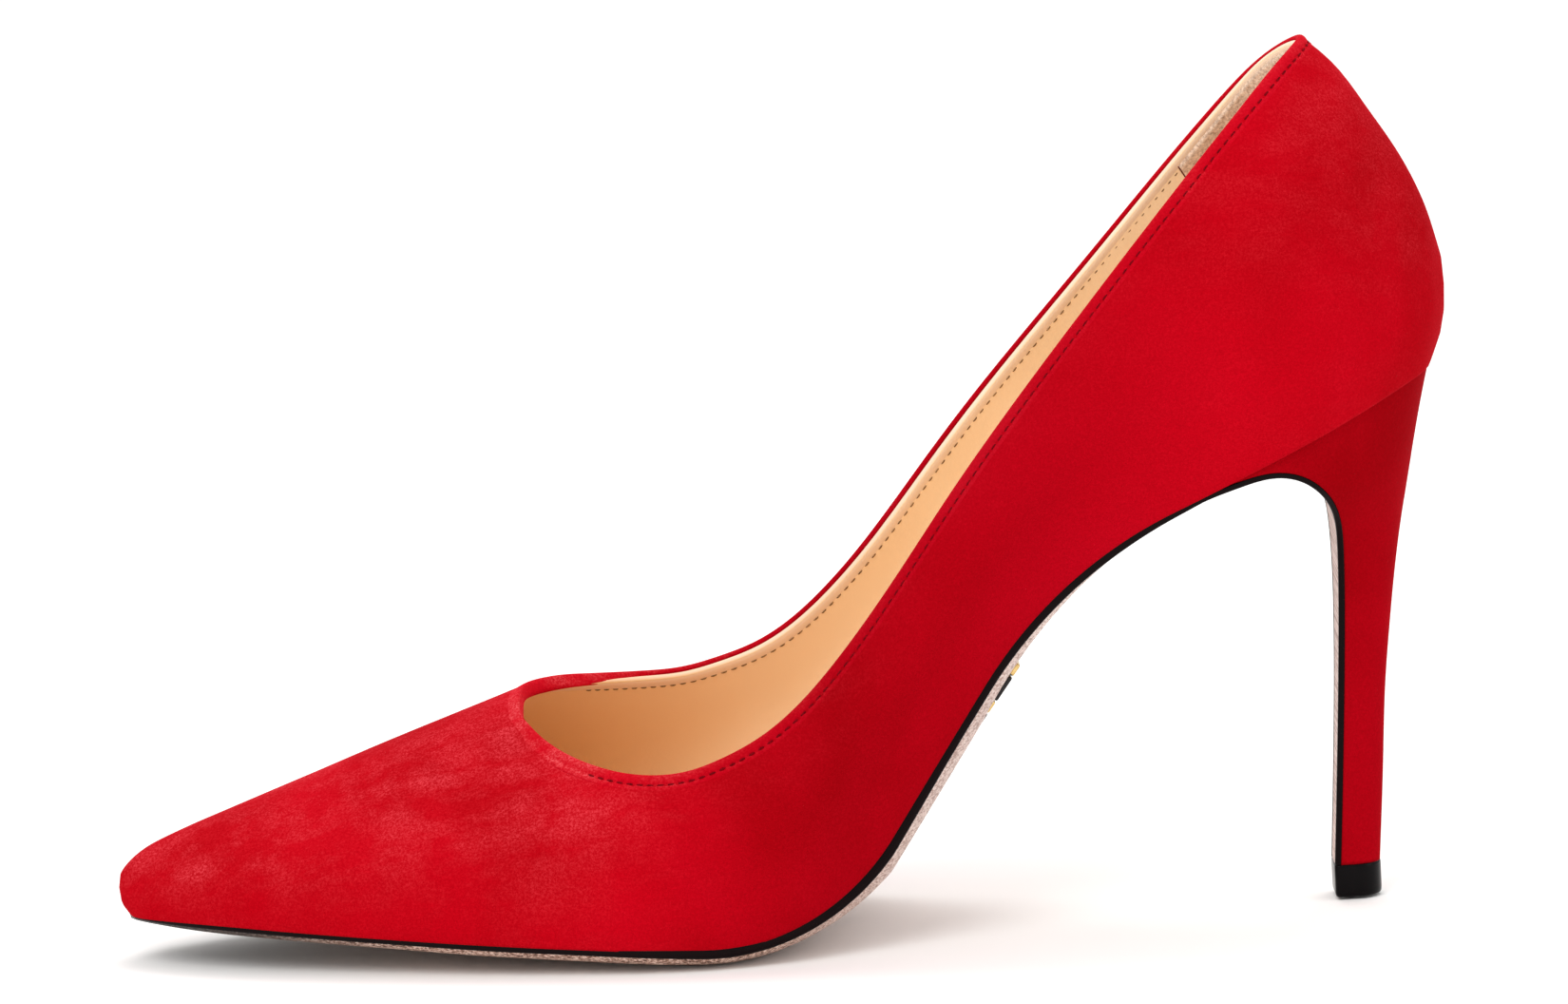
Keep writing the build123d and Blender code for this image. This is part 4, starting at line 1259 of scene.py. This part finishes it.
upper = upper_skin()
fold = ring_band("topline_fold", FOLD_STOPS, HOLE_DEPTH)
band = ring_band("lining_band", [(0.0, LINING_BAND)])
lining = lining_skin()
sock = sock_skin()
grip, grip_seam = grip_skin()
outsole = outsole_skin()
edge = sole_edge()
heel = heel_cover_skin()
lift = top_lift_skin()
badge = badge_blocks("badge_skin", ((0.0, 7.0, 3.0),), 2.6, 0.85, 1.4)
badge_trim = badge_blocks("badge_trim", ((5.5, 1.2, 2.4), (-2.3, 1.2, 2.6)), 1.4, 0.05, 0.5)
badge_enamel = badge_blocks("badge_enamel", ((1.6, 2.5, 2.7), (-5.1, 1.4, 2.2)), 1.4, 0.0, 0.5)
outer_stitch = stitches("topline_stitches", STITCH_DROP, 0.03, 1.45, 0.15, 0.30)
inner_stitch = stitches("lining_stitches", 2.05, -2.20, 1.35, -0.15, -0.3)

for piece, mat, slot_name in (
    (upper, mat_suede, "suede"),
    (fold, mat_fold_highlight, "suede"),
    (band, mat_band, "lining"),
    (lining, mat_lining, "lining"),
    (sock, mat_sock, "sock"),
    (grip, mat_grip, "grip"),
    (outsole, mat_sole, "sole_leather"),
    (edge, mat_edge, "sole_leather"),
    (heel, mat_heel_shaded, "suede"),
    (lift, mat_lift, "lift_plastic"),
    (badge, mat_badge, "badge"),
    (badge_trim, mat_badge, "badge"),
    (badge_enamel, mat_enamel, "badge"),
    (grip_seam, mat_seam_and_shadow, "grip"),
    (outer_stitch, mat_thread, "suede"),
    (inner_stitch, mat_thread_brown, "lining"),
):
    paint(piece, mat)
    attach(piece, "root")

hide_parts("upper")
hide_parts("topline_tape")
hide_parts("lining")
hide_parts("sock_lining")
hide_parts("heel_grip")
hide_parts("outsole")
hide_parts("heel_cover", "heel_core")
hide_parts("top_lift")
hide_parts("sole_badge")

for name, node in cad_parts.items():
    if node.type != "MESH":
        continue
    for i, slot_ in enumerate(node.material_slots):
        key = next((k for k in INNER if slot_.material and k in slot_.material.name), None)
        colour, rough = INNER.get(key, ((0.35, 0.34, 0.33), 0.5))
        if slot_.material and "steel" in slot_.material.name:
            steel = ((0.55, 0.55, 0.56), (0.42, 0.42, 0.43))
            slot_.material = metal_fleck("steel_" + name, *steel, 1.0, 0.35, 300.0)
        else:
            slot_.material = gloss_plastic("inner_" + name, colour, rough)

# ---- stage, light and camera
bpy.ops.mesh.primitive_plane_add(size=12.0, location=(0, 0, -0.0005))
floor = bpy.context.object
floor.name = "floor"
mat_floor, tree, shader = new_material("floor_pale")
settings(tree, shader, Base_Color=(0.92, 0.915, 0.905), Roughness=0.9, Specular_IOR_Level=0.1)
paint(floor, mat_floor)

world = bpy.data.worlds.new("studio")
bpy.context.scene.world = world
world.use_nodes = True
world.node_tree.nodes["Background"].inputs["Color"].default_value = (1.0, 0.995, 0.985, 1)
world.node_tree.nodes["Background"].inputs["Strength"].default_value = 1.0


def area_light(name, place, target, size, power):
    """Rectangular lamp at place, turned towards target."""
    data = bpy.data.lights.new(name, "AREA")
    data.shape = "RECTANGLE"
    data.size, data.size_y = size
    data.energy = power
    obj = bpy.data.objects.new(name, data)
    bpy.context.scene.collection.objects.link(obj)
    obj.location = place
    aim = Vector(target) - Vector(place)
    obj.rotation_euler = aim.to_track_quat("-Z", "Y").to_euler()


area_light("key", (-0.5, -0.9, 1.1), (0, 0, 0.07), (0.8, 0.8), 8.0)
area_light("top", (0.1, 0.5, 1.3), (0, 0, 0.07), (0.9, 0.6), 6.0)
area_light("side", (1.1, -0.5, 0.5), (0, 0, 0.08), (0.5, 0.8), 2.0)

AZIMUTH, ELEVATION, ROLL = (radians(v) for v in (-1.0, 9.5, -3.0))
TARGET = Vector((0.0016, 0.0, 0.0753))
DISTANCE = 2.0
LENS, SENSOR = 261.8, 36.0
level = cos(ELEVATION)
back = Vector((sin(AZIMUTH) * level, -cos(AZIMUTH) * level, sin(ELEVATION)))
right = Vector((cos(AZIMUTH), sin(AZIMUTH), 0.0))
up = back.cross(right)
right_r = right * cos(ROLL) + up * sin(ROLL)
up_r = up * cos(ROLL) - right * sin(ROLL)
data = bpy.data.cameras.new("photo_camera")
data.sensor_width = SENSOR
data.lens = LENS
data.clip_start, data.clip_end = 0.1, 30.0
camera = bpy.data.objects.new("photo_camera", data)
bpy.context.scene.collection.objects.link(camera)
place = Matrix((right_r, up_r, back)).transposed().to_4x4()
place.translation = TARGET + back * DISTANCE
camera.matrix_world = place
bpy.context.scene.camera = camera
bpy.context.scene.view_settings.view_transform = "Standard"
